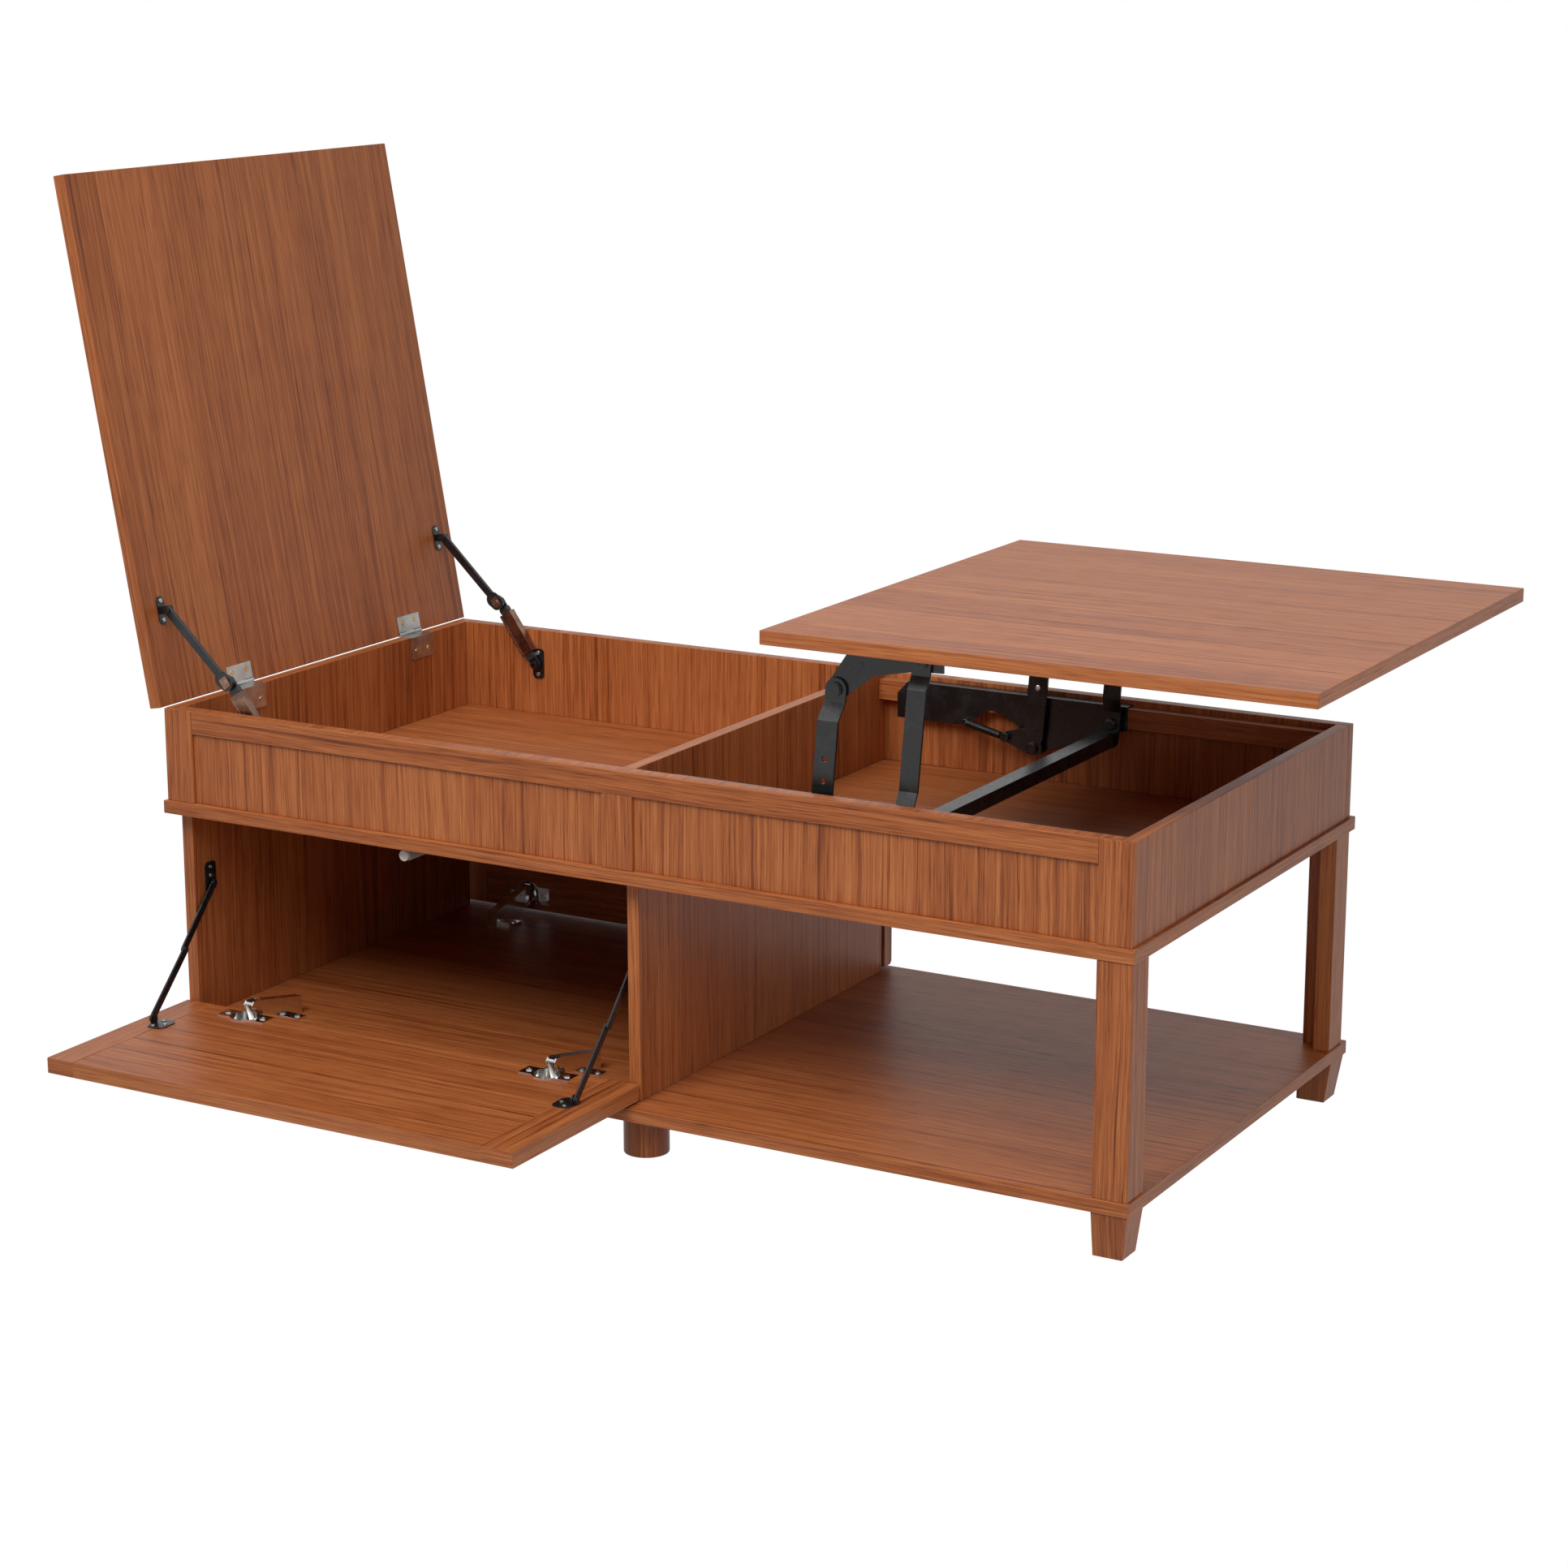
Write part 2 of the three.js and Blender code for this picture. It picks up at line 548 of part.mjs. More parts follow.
function basePlate() {
  const left = DIVIDER_RIGHT + 26;
  const right = SECOND_LOW.x + 16;
  const top = CLEAT_TOP + CLEARANCE + PLATE_THICK;
  const shape = outline([
    [left, CLEAT_TOP - 42],
    [left + 86, CLEAT_TOP - 42],
    [left + 121, CLEAT_TOP - 20],
    [left + 137, CLEAT_TOP - 24],
    [MAIN_LOW.x - 16, MAIN_LOW.y + 18],
    [MAIN_LOW.x - 16, MAIN_LOW.y],
    [MAIN_LOW.x - 7, MAIN_LOW.y - 9],
    [MAIN_LOW.x + 8, MAIN_LOW.y - 9],
    [MAIN_LOW.x + 14, MAIN_LOW.y - 4],
    [SECOND_LOW.x + 3, SECOND_LOW.y - 10],
    [right, SECOND_LOW.y - 8],
    [right, top],
    [left + 14, top],
    [left, top - 15],
  ]);
  const pins = [MAIN_LOW, SECOND_LOW].flatMap((pin) => [
    rod('y', PIN, ARM_IN - HEAD_THICK, PLATE_IN + 1, [pin.x, pin.y]),
    rod('y', HEAD, ARM_IN - CLEARANCE - HEAD_THICK, ARM_IN - CLEARANCE, [pin.x, pin.y]),
    rod('y', HEAD, ARM_OUT + CLEARANCE, PLATE_IN + 1, [pin.x, pin.y]),
  ]);
  const flange = box(left + 14, right, PLATE_IN, WALL_INNER_Y - 1, top - PLATE_THICK, top);
  return join(plateXZ(shape, PLATE_IN, PLATE_OUT), flange, ...pins);
}

// Edge-on outline of an arm, in Y and height: upright in two planes, with steps between.
function armProfile(bottom, top, steps) {
  const inner = [[ARM_TOP_IN, top]];
  const outer = [[ARM_TOP_OUT, top]];
  let from = 0;
  for (const [upper, lower, share] of steps) {
    const to = from + share * ARM_JOGGLE;
    inner.push([ARM_TOP_IN + from, upper], [ARM_TOP_IN + to, lower]);
    outer.push([ARM_TOP_OUT + from, upper], [ARM_TOP_OUT + to, lower]);
    from = to;
  }
  inner.push([ARM_IN, bottom]);
  outer.push([ARM_OUT, bottom]);
  return outline([...outer, ...inner.reverse()]);
}

// A flat face shape bent to its edge-on profile.
function bentPlate(shape, profile) {
  const bent = plateYZ(profile, MAIN_LOW.x - 2 * HOOK_BACK, SECOND_HIGH.x + SECOND_ARM_WIDTH);
  return common(bent, plateXZ(shape, LEAF_IN, PLATE_OUT, 8));
}

function pinHole(pin) {
  return rod('y', PIN + CLEARANCE, LEAF_IN, PLATE_OUT, [pin.x, pin.y]);
}

// Main arm: its foot runs back to a beak that carries the spring's hook.
function mainArm() {
  const top = MAIN_HIGH.y + ARM_WIDTH;
  const profile = armProfile(MIDDLE_TOP, top, [[MAIN_HIGH.y - 13, MAIN_HIGH.y - 31, 1]]);
  const beak = outline([
    [MAIN_LOW.x + ARM_WIDTH / 2, MAIN_LOW.y + 4],
    [MAIN_LOW.x - ARM_WIDTH / 2, MAIN_LOW.y + 22],
    [HOOK.x, HOOK.y + 6],
    [HOOK.x - 6, HOOK.y + 1],
    [HOOK.x - 5, HOOK.y - 5],
    [MAIN_LOW.x - 5, MAIN_LOW.y - 8],
    [MAIN_LOW.x + 7, MAIN_LOW.y - 8],
    [MAIN_LOW.x + ARM_WIDTH / 2, MAIN_LOW.y - 4],
  ]);
  const start = MAIN_LOW.clone().lerp(MAIN_HIGH, 0.08);
  const strip = bentPlate(linkShape(start, MAIN_HIGH, ARM_WIDTH / 2), profile);
  const holes = [0.43, 0.57].map((share) => {
    const spot = MAIN_LOW.clone().lerp(MAIN_HIGH, share);
    return rod('y', 3.2, ARM_IN - 1, ARM_OUT + 1, [spot.x, spot.y], 16);
  });
  const bolt = rod('y', 3, ARM_IN - 5, ARM_IN + 1, [HOOK.x, HOOK.y], 16);
  const whole = join(strip, plateXZ(beak, ARM_IN, ARM_OUT), bolt);
  return cut(whole, pinHole(MAIN_LOW), pinHole(MAIN_HIGH), ...holes);
}

function secondArm() {
  const tail = SECOND_LOW.clone().addScaledVector(ARM.clone().normalize(), -ARM_TAIL);
  const profile = armProfile(MIDDLE_TOP, SECOND_HIGH.y + SECOND_ARM_WIDTH, [
    [SECOND_HIGH.y - 15, SECOND_HIGH.y - 29, 0.5],
    [SECOND_LOW.y + 31, SECOND_LOW.y + 15, 0.5],
  ]);
  const strip = bentPlate(linkShape(tail, SECOND_HIGH, SECOND_ARM_WIDTH / 2), profile);
  return cut(strip, pinHole(SECOND_LOW), pinHole(SECOND_HIGH));
}

function topBracket() {
  const top = RAISED_BOTTOM - CLEARANCE;
  const end = SECOND_HIGH.x + 23;
  const start = MAIN_HIGH.x + 20;
  const shape = outline([
    [MAIN_HIGH.x - 8.5, MAIN_HIGH.y + 8.5],
    [start, top],
    [end, top],
    [end, SECOND_HIGH.y - 11],
    [SECOND_HIGH.x - 9, SECOND_HIGH.y - 12],
    [MAIN_HIGH.x + 41, MAIN_HIGH.y + 17],
    [MAIN_HIGH.x + 8.5, MAIN_HIGH.y - 8.5],
  ]);
  const pins = [MAIN_HIGH, SECOND_HIGH].flatMap((pin) => [
    rod('y', PIN, LEAF_OUT - 1, ARM_TOP_OUT + HEAD_THICK / 2, [pin.x, pin.y]),
    rod('y', HEAD, ARM_TOP_OUT + CLEARANCE, ARM_TOP_OUT + HEAD_THICK, [pin.x, pin.y]),
  ]);
  return join(
    plateXZ(shape, LEAF_IN, LEAF_OUT),
    rod('y', ARM_WIDTH / 2, LEAF_IN, LEAF_OUT, [MAIN_HIGH.x, MAIN_HIGH.y]),
    box(start, end, LEAF_IN - 24, LEAF_OUT, top - PLATE_THICK, top),
    ...pins,
  );
}

function buildLift() {
  bothSides('lift_base', basePlate(), BLACK_STEEL);
  bothSides('lift_arm_main', mainArm(), BLACK_STEEL);
  bothSides('lift_arm_second', secondArm(), BLACK_STEEL);
  bothSides('lift_top_bracket', topBracket(), BLACK_STEEL);
  const barTop = SECOND_LOW.y - HEAD - 1.8;
  const barRight = SECOND_LOW.x + 5.5;
  const half = ARM_IN;
  const bar = box(barRight - BAR_WIDTH, barRight, -half, half, barTop - BAR_HEIGHT, barTop);
  add('lift_crossbar', bar, BLACK_STEEL);
  const left = LID_MEETING / 2 + LIFT_SHIFT;
  const right = HALF_LENGTH + LIFT_SHIFT;
  const board = box(left, right, -HALF_DEPTH, HALF_DEPTH, RAISED_BOTTOM, RAISED_BOTTOM + BOARD);
  add('lift_top', board, WOOD);
}

// ---- Drop doors, their hinges, stays and latches ------------------------------------------
// Drawn for the front, in Y and Z: `up` runs from the hinge edge along the door, `into` from
// its inner face towards its outer face. The back is the front turned over.

const SHUT_FACE_Y = -HALF_DEPTH + DOOR_THICK;
const OPEN_EDGE_Y = -HALF_DEPTH + DOOR_SETBACK;
const OPEN_FACE_Z = SHELF_TOP + DOOR_DROP_GAP + DOOR_THICK;
const openPlace = (up, into) => new THREE.Vector2(OPEN_EDGE_Y - up, OPEN_FACE_Z - into);
const shutPlace = (up, into) => new THREE.Vector2(SHUT_FACE_Y - into, DOOR_BOTTOM + up);
const PIN_OPEN = openPlace(DOOR_PIN_UP, DOOR_PIN_IN);
const PIN_SHUT = shutPlace(DOOR_PIN_UP, DOOR_PIN_IN);

// The crank's fixed pivot: the point about which it carries the door pivot from one to the other.
function crankPivot() {
  const way = new THREE.Vector2().subVectors(PIN_SHUT, PIN_OPEN);
  const off = way.length() / 2 / Math.tan(degrees(CRANK_TURN) / 2);
  const middle = new THREE.Vector2().addVectors(PIN_OPEN, PIN_SHUT).multiplyScalar(0.5);
  const unit = way.normalize();
  return new THREE.Vector2(middle.x + unit.y * off, middle.y - unit.x * off);
}
const CRANK_PIN = crankPivot();

const crankEnd = (isShut) => (isShut ? PIN_SHUT : PIN_OPEN);
const hingeMiddles = [
  ['left', DOOR_MIDDLE - DOOR_HALF + HINGE_ENDS.left],
  ['right', DOOR_MIDDLE + DOOR_HALF - HINGE_ENDS.right],
];

// A round plug along a hinge's cup, from one depth into the door to another.
function plug(place, x, radius, from, to) {
  const start = place(CUP_UP, from);
  const end = place(CUP_UP, to);
  const along = place === openPlace ? 'z' : 'y';
  if (along === 'z') return rod('z', radius, end.y, start.y, [x, start.x], 40);
  return rod('y', radius, end.x, start.x, [x, start.y], 40);
}

function doorPanel(place) {
  const shape = new THREE.Shape([
    place(0, 0),
    place(0, DOOR_THICK - DOOR_CHAMFER),
    place(DOOR_CHAMFER, DOOR_THICK),
    place(DOOR_HEIGHT, DOOR_THICK),
    place(DOOR_HEIGHT, 0),
  ]);
  const panel = plateYZ(shape, DOOR_MIDDLE - DOOR_HALF, DOOR_MIDDLE + DOOR_HALF);
  return cut(panel, ...hingeMiddles.map(([, x]) => plug(place, x, CUP / 2, -1, CUP_DEPTH)));
}

// Cup with its rim and flange, cut away where the crank passes its wall; it holds a cross pin.
function cup(x) {
  const radius = CUP / 2 - CLEARANCE;
  const depth = CUP_DEPTH - CLEARANCE;
  const inner = radius - CUP_WALL;
  const near = openPlace(CUP_UP - FLANGE_WIDTH / 2, 0);
  const far = openPlace(CUP_UP + FLANGE_WIDTH / 2, -FLANGE_THICK);
  const half = FLANGE_LENGTH / 2;
  const body = join(
    plug(openPlace, x, radius, 0, depth),
    plug(openPlace, x, radius + RIM, -FLANGE_THICK, 0),
    box(x - half, x + half, far.x, near.x, near.y, far.y),
  );
  const pinReach = CRANK_WIDTH / 2 + 4;
  return join(
    cut(body, plug(openPlace, x, inner, -FLANGE_THICK - 1, depth - CUP_WALL), crankSlot(x)),
    rod('x', CRANK_PIN_RADIUS, x - pinReach, x + pinReach, [PIN_OPEN.x, PIN_OPEN.y], 12),
  );
}

// The gap in the cup's wall beside the crank's lower end.
function crankSlot(x) {
  const half = CRANK_WIDTH / 2 + CLEARANCE;
  const edge = openPlace(0, DOOR_PIN_IN + CRANK_END + CLEARANCE);
  const top = openPlace(0, -FLANGE_THICK - 1);
  return box(x - half, x + half, PIN_OPEN.x, edge.x, edge.y, top.y);
}

function crank(x, shut) {
  const half = CRANK_WIDTH / 2;
  const bar = plateYZ(linkShape(CRANK_PIN, crankEnd(shut), CRANK_TOP, CRANK_END), x - half, x + half);
  const holes = [CRANK_PIN, crankEnd(shut)].map((pin) =>
    rod('x', CRANK_PIN_RADIUS + CLEARANCE / 2, x - half - 1, x + half + 1, [pin.x, pin.y], 12),
  );
  return cut(bar, ...holes);
}

// Fixed arm on the shelf: two wings, a long body and a forked nose that holds the crank's pin.
function hingeBase(x) {
  const half = HINGE_ARM_WIDTH / 2;
  const wing = HINGE_WING / 2;
  const back = -HALF_DEPTH + HINGE_ARM_BACK;
  const front = -HALF_DEPTH + HINGE_ARM_FRONT;
  const wingBack = -HALF_DEPTH + HINGE_WING_BACK;
  const top = SHELF_TOP + HINGE_ARM_HEIGHT;
  const nose = outline([
    [back, SHELF_TOP],
    [back, top],
    [CRANK_PIN.x + 8, CRANK_PIN.y + 3.5],
    [CRANK_PIN.x, CRANK_PIN.y + 3.5],
    [CRANK_PIN.x - 3.5, CRANK_PIN.y],
    [CRANK_PIN.x - 2.5, CRANK_PIN.y - 4],
    [OPEN_EDGE_Y, OPEN_FACE_Z + 4],
    [front, SHELF_TOP],
  ]);
  const slotEdge = half - (HINGE_ARM_WIDTH - CRANK_WIDTH) / 2 + CLEARANCE;
  const slotBack = OPEN_EDGE_Y + 3;
  const slot = box(x - slotEdge, x + slotEdge, -HALF_DEPTH, slotBack, SHELF_TOP, MIDDLE_BOTTOM);
  return join(
    cut(plateYZ(nose, x - half, x + half), slot),
    box(x - wing, x + wing, wingBack - HINGE_WING_DEPTH, wingBack, SHELF_TOP, SHELF_TOP + HINGE_WING_THICK),
    rod('x', CRANK_PIN_RADIUS, x - half, x + half, [CRANK_PIN.x, CRANK_PIN.y], 12),
  );
}

const STAY_TOP = new THREE.Vector2(-CABINET_EDGE_Y + STAY_POST_BACK, SHELF_TOP + STAY_POST_UP);
const STAY_LOW = openPlace(STAY_PIN_UP, -STAY_PIN_OUT);
const STAY_ELBOW = elbow(STAY_TOP, STAY_LOW, STAY_UPPER, STAY_LOWER);

// Two flat links side by side; the first is the one nearer the cabinet's side.
function stayLinks(end, sideFace, inward) {
  const from = (distance) => sideFace + inward * distance;
  const link = (first, second, distance) => {
    const faces = [from(distance), from(distance + STAY_LINK_THICK)].sort((a, b) => a - b);
    const bar = plateYZ(linkShape(first, second, STAY_LINK_WIDTH / 2), ...faces);
    const eye = rod('x', 1.8, faces[0] - 1, faces[1] + 1, [first.x, first.y], 12);
    return cut(bar, eye);
  };
  const gap = STAY_OFF + STAY_LINK_THICK + CLEARANCE;
  add(`door_stay_upper_${end}`, link(STAY_TOP, STAY_ELBOW, STAY_OFF), BLACK_STEEL);
  add(`door_stay_lower_${end}`, link(STAY_LOW, STAY_ELBOW, gap), BLACK_STEEL);
}

const LATCH_X = CABINET_MIDDLE + LATCH_OFFSET;
const LATCH_Z = MIDDLE_BOTTOM - LATCH_DROP;
const LATCH_FRONT = SHUT_FACE_Y + PLUNGER_CAP_THICK + 2 * CLEARANCE;

function latchBody() {
  const radius = LATCH_BODY / 2;
  const back = LATCH_FRONT + LATCH_LENGTH;
  const half = LATCH_FOOT.width / 2;
  const at = [LATCH_X, LATCH_Z];
  const bore = rod('y', PLUNGER_STEM / 2 + CLEARANCE, LATCH_FRONT - 1, back - 10, at);
  const foot = box(LATCH_X - half, LATCH_X + half, back - LATCH_FOOT.length, back, LATCH_Z, MIDDLE_BOTTOM);
  return cut(join(rod('y', radius, LATCH_FRONT, back, at, 32), foot), bore);
}

function plunger(out) {
  const tip = SHUT_FACE_Y + CLEARANCE - out;
  const capEnd = tip + PLUNGER_CAP_THICK;
  const at = [LATCH_X, LATCH_Z];
  return join(
    rod('y', PLUNGER_CAP / 2, tip, capEnd, at, 32),
    rod('y', PLUNGER_STEM / 2, capEnd - 1, capEnd + PLUNGER_STEM_LENGTH, at),
  );
}

function buildDoors() {
  add('door_front', doorPanel(openPlace), WOOD);
  add('door_back', mirrored(doorPanel(shutPlace), 'y'), WOOD);
  for (const [end, x] of hingeMiddles) {
    add(`door_hinge_cup_front_${end}`, cup(x), CHROME);
    add(`door_hinge_crank_front_${end}`, crank(x, false), BLACK_STEEL);
    add(`door_hinge_crank_back_${end}`, mirrored(crank(x, true), 'y'), BLACK_STEEL);
    add(`door_hinge_base_front_${end}`, hingeBase(x), CHROME);
    add(`door_hinge_base_back_${end}`, mirrored(hingeBase(x), 'y'), CHROME);
  }
  stayLinks('left', -WALL_INNER_X, 1);
  stayLinks('right', DIVIDER_LEFT, -1);
  add('latch_body_front', latchBody(), WHITE_PLASTIC);
  add('latch_body_back', mirrored(latchBody(), 'y'), WHITE_PLASTIC);
  add('latch_plunger_front', plunger(PLUNGER_TRAVEL), WHITE_PLASTIC);
  add('latch_plunger_back', mirrored(plunger(0), 'y'), WHITE_PLASTIC);
}

buildBase();
buildFrame();
buildFlap();
buildLift();
buildDoors();

export default table;
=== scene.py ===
"""Lift top coffee table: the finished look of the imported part.

The table stands in use: flap open on its soft-close stays, lift top raised on its parallel
linkage, front door dropped, back door shut. Everything is in metres, in the part's own frame:
X along the table, Y from front to back, Z up from the floor.
"""

import json
import logging
import math
import random
from contextlib import contextmanager
from dataclasses import dataclass, field
from enum import Enum
from typing import Callable, Iterator, Sequence, Union

import bpy
from mathutils import Matrix, Vector


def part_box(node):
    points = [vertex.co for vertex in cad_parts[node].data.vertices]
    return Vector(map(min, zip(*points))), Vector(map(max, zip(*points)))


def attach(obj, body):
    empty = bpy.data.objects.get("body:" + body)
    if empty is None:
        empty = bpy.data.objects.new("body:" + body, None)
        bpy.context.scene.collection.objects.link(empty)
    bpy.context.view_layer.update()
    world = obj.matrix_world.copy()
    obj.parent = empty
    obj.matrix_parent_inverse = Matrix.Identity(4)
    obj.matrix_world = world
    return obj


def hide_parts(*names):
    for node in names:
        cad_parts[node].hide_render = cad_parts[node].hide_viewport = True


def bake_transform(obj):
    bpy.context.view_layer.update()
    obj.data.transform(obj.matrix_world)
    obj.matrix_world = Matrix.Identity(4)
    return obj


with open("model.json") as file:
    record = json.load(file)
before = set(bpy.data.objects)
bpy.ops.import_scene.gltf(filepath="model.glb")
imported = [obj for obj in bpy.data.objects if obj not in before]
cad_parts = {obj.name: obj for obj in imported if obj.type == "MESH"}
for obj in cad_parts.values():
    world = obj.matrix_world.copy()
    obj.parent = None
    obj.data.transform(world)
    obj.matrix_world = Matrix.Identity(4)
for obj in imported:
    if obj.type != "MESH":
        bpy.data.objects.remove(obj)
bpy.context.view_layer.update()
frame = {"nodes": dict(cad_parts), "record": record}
log = logging.getLogger("lift_top_table")

MM = 0.001
Colour = tuple[float, float, float]
Piece = bpy.types.Object
Point = Sequence[float]
Spots = Sequence[tuple[Point, Point]]


class Along(Enum):
    """Directions that the grain of a board can run in."""

    LENGTH = (1.0, 0.0, 0.0)
    DEPTH = (0.0, 1.0, 0.0)
    HEIGHT = (0.0, 0.0, 1.0)
    OPEN_FLAP = (-0.17365, 0.0, 0.98481)


class Slot(Enum):
    """The record's material slots."""

    WALNUT = "walnut_laminate"
    BLACK = "black_steel"
    ZINC = "zinc_plate"
    NICKEL = "nickel_plate"
    BRONZE = "bronze_finish"
    WHITE = "white_plastic"


# ---- Shader trees


class Signal:
    """A number or colour that varies over a surface: one socket, with arithmetic on numbers."""

    def __init__(self, tree: "ShaderTree", socket: bpy.types.NodeSocket) -> None:
        """Wraps an output socket of a tree."""
        self.tree = tree
        self.socket = socket

    def _maths(self, operation: str, first: "Value", second: "Value") -> "Signal":
        """Adds one Math node and gives its result."""
        return self.tree.node("ShaderNodeMath", {"operation": operation}, {0: first, 1: second})

    def __add__(self, other: "Value") -> "Signal":
        """Sum."""
        return self._maths("ADD", self, other)

    def __radd__(self, other: "Value") -> "Signal":
        """Sum, the other way round."""
        return self._maths("ADD", other, self)

    def __sub__(self, other: "Value") -> "Signal":
        """Difference."""
        return self._maths("SUBTRACT", self, other)

    def __rsub__(self, other: "Value") -> "Signal":
        """Difference, the other way round."""
        return self._maths("SUBTRACT", other, self)

    def __mul__(self, other: "Value") -> "Signal":
        """Product."""
        return self._maths("MULTIPLY", self, other)

    def __rmul__(self, other: "Value") -> "Signal":
        """Product, the other way round."""
        return self._maths("MULTIPLY", other, self)

    def sine(self) -> "Signal":
        """Sine of the number."""
        return self._maths("SINE", self, 0.0)

    def floor(self) -> "Signal":
        """Whole number below."""
        return self._maths("FLOOR", self, 0.0)

    def above(self, low: float, high: float) -> "Signal":
        """Smooth step from 0 at the low value to 1 at the high one."""
        settings = {"interpolation_type": "SMOOTHSTEP"}
        return self.tree.node("ShaderNodeMapRange", settings, {0: self, 1: low, 2: high})


Value = Union[Signal, float, int, Point]


class ShaderTree:
    """The nodes of one material."""

    def __init__(self, name: str) -> None:
        """Makes an empty material."""
        self.material = bpy.data.materials.new(name)
        self.material.use_nodes = True
        self.nodes = self.material.node_tree.nodes
        self.links = self.material.node_tree.links
        self.nodes.clear()

    def node(
        self,
        kind: str,
        settings: dict[str, object] | None = None,
        values: dict[int | str, Value] | None = None,
        output: int | str = 0,
    ) -> Signal:
        """Adds one node.

        Args:
            kind: Blender's name for the node type.
            settings: Properties, set first; "stops" sets a ramp's places and colours.
            values: Numbers, vectors or signals for its sockets.
            output: The output that is used.

        Returns:
            That output.
        """
        made = self.nodes.new(kind)
        for name, value in (settings or {}).items():
            if name == "stops":
                self._set_stops(made.color_ramp, value)
            else:
                setattr(made, name, value)
        for key, value in (values or {}).items():
            if isinstance(value, Signal):
                self.links.new(value.socket, made.inputs[key])
            else:
                made.inputs[key].default_value = value
        return Signal(self, made.outputs[output])

    @staticmethod
    def _set_stops(ramp: bpy.types.ColorRamp, stops: Sequence[tuple[float, Colour]]) -> None:
        """Gives a ramp its stops, each a place and a colour."""
        while len(ramp.elements) < len(stops):
            ramp.elements.new(1.0)
        for element, (place, colour) in zip(ramp.elements, stops):
            element.position = place
            element.color = (*colour, 1.0)

    def along(self, x: Value, y: Value, z: Value = 0.0) -> Signal:
        """Joins three numbers to a vector."""
        return self.node("ShaderNodeCombineXYZ", None, {0: x, 1: y, 2: z})

    def parts(self, vector: Signal) -> tuple[Signal, Signal, Signal]:
        """Splits a vector into its three numbers."""
        first = self.node("ShaderNodeSeparateXYZ", None, {0: vector})
        outputs = first.socket.node.outputs
        return first, Signal(self, outputs[1]), Signal(self, outputs[2])

    def noise(
        self, vector: Signal, scale: float = 1.0, detail: float = 3.0, rough: float = 0.55
    ) -> Signal:
        """Smooth noise from about 0.25 to 0.75.

        Args:
            vector: Where it is read.
            scale: Repeats in a unit.
            detail: Octaves.
            rough: Strength of the finer octaves.

        Returns:
            The noise.
        """
        values = {"Vector": vector, "Scale": scale, "Detail": detail, "Roughness": rough}
        return self.node("ShaderNodeTexNoise", {"noise_dimensions": "3D"}, values)

    def ramp(self, factor: Signal, stops: Sequence[tuple[float, Colour]]) -> Signal:
        """Turns a number into a colour."""
        return self.node("ShaderNodeValToRGB", {"stops": stops}, {0: factor})

    def mix(self, factor: Signal, first: Colour, second: Colour) -> Signal:
        """Mixes two colours, from the first at 0 to the second at 1."""
        values = {0: factor, 6: (*first, 1.0), 7: (*second, 1.0)}
        return self.node("ShaderNodeMix", {"data_type": "RGBA"}, values, 2)

    def place(self) -> Signal:
        """The point's own place in the piece."""
        return self.node("ShaderNodeTexCoord", None, None, "Object")

    def bump(self, height: Signal, distance: float, strength: float) -> Signal:
        """Turns a height from 0 to 1 into a normal, for a relief of that distance."""
        values = {"Strength": strength, "Distance": distance, "Height": height}
        return self.node("ShaderNodeBump", None, values)

    def surface(self, **values: Value) -> bpy.types.Material:
        """Closes the tree with a Principled shader.

        Args:
            **values: Its sockets' values, with spaces written as underscores.

        Returns:
            The finished material.
        """
        named = {key.replace("_", " "): value for key, value in values.items()}
        shader = self.node("ShaderNodeBsdfPrincipled", None, named)
        end = self.nodes.new("ShaderNodeOutputMaterial")
        self.links.new(shader.socket, end.inputs[0])
        return self.material


# ---- Finishes


class Finish:
    """A finish that makes its material once."""

    name: str
    slot: Slot

    def build(self) -> bpy.types.Material:
        """Makes the material."""
        raise NotImplementedError

    def material(self) -> bpy.types.Material:
        """The finish's material, made at its first use."""
        return bpy.data.materials.get(self.name) or self.build()


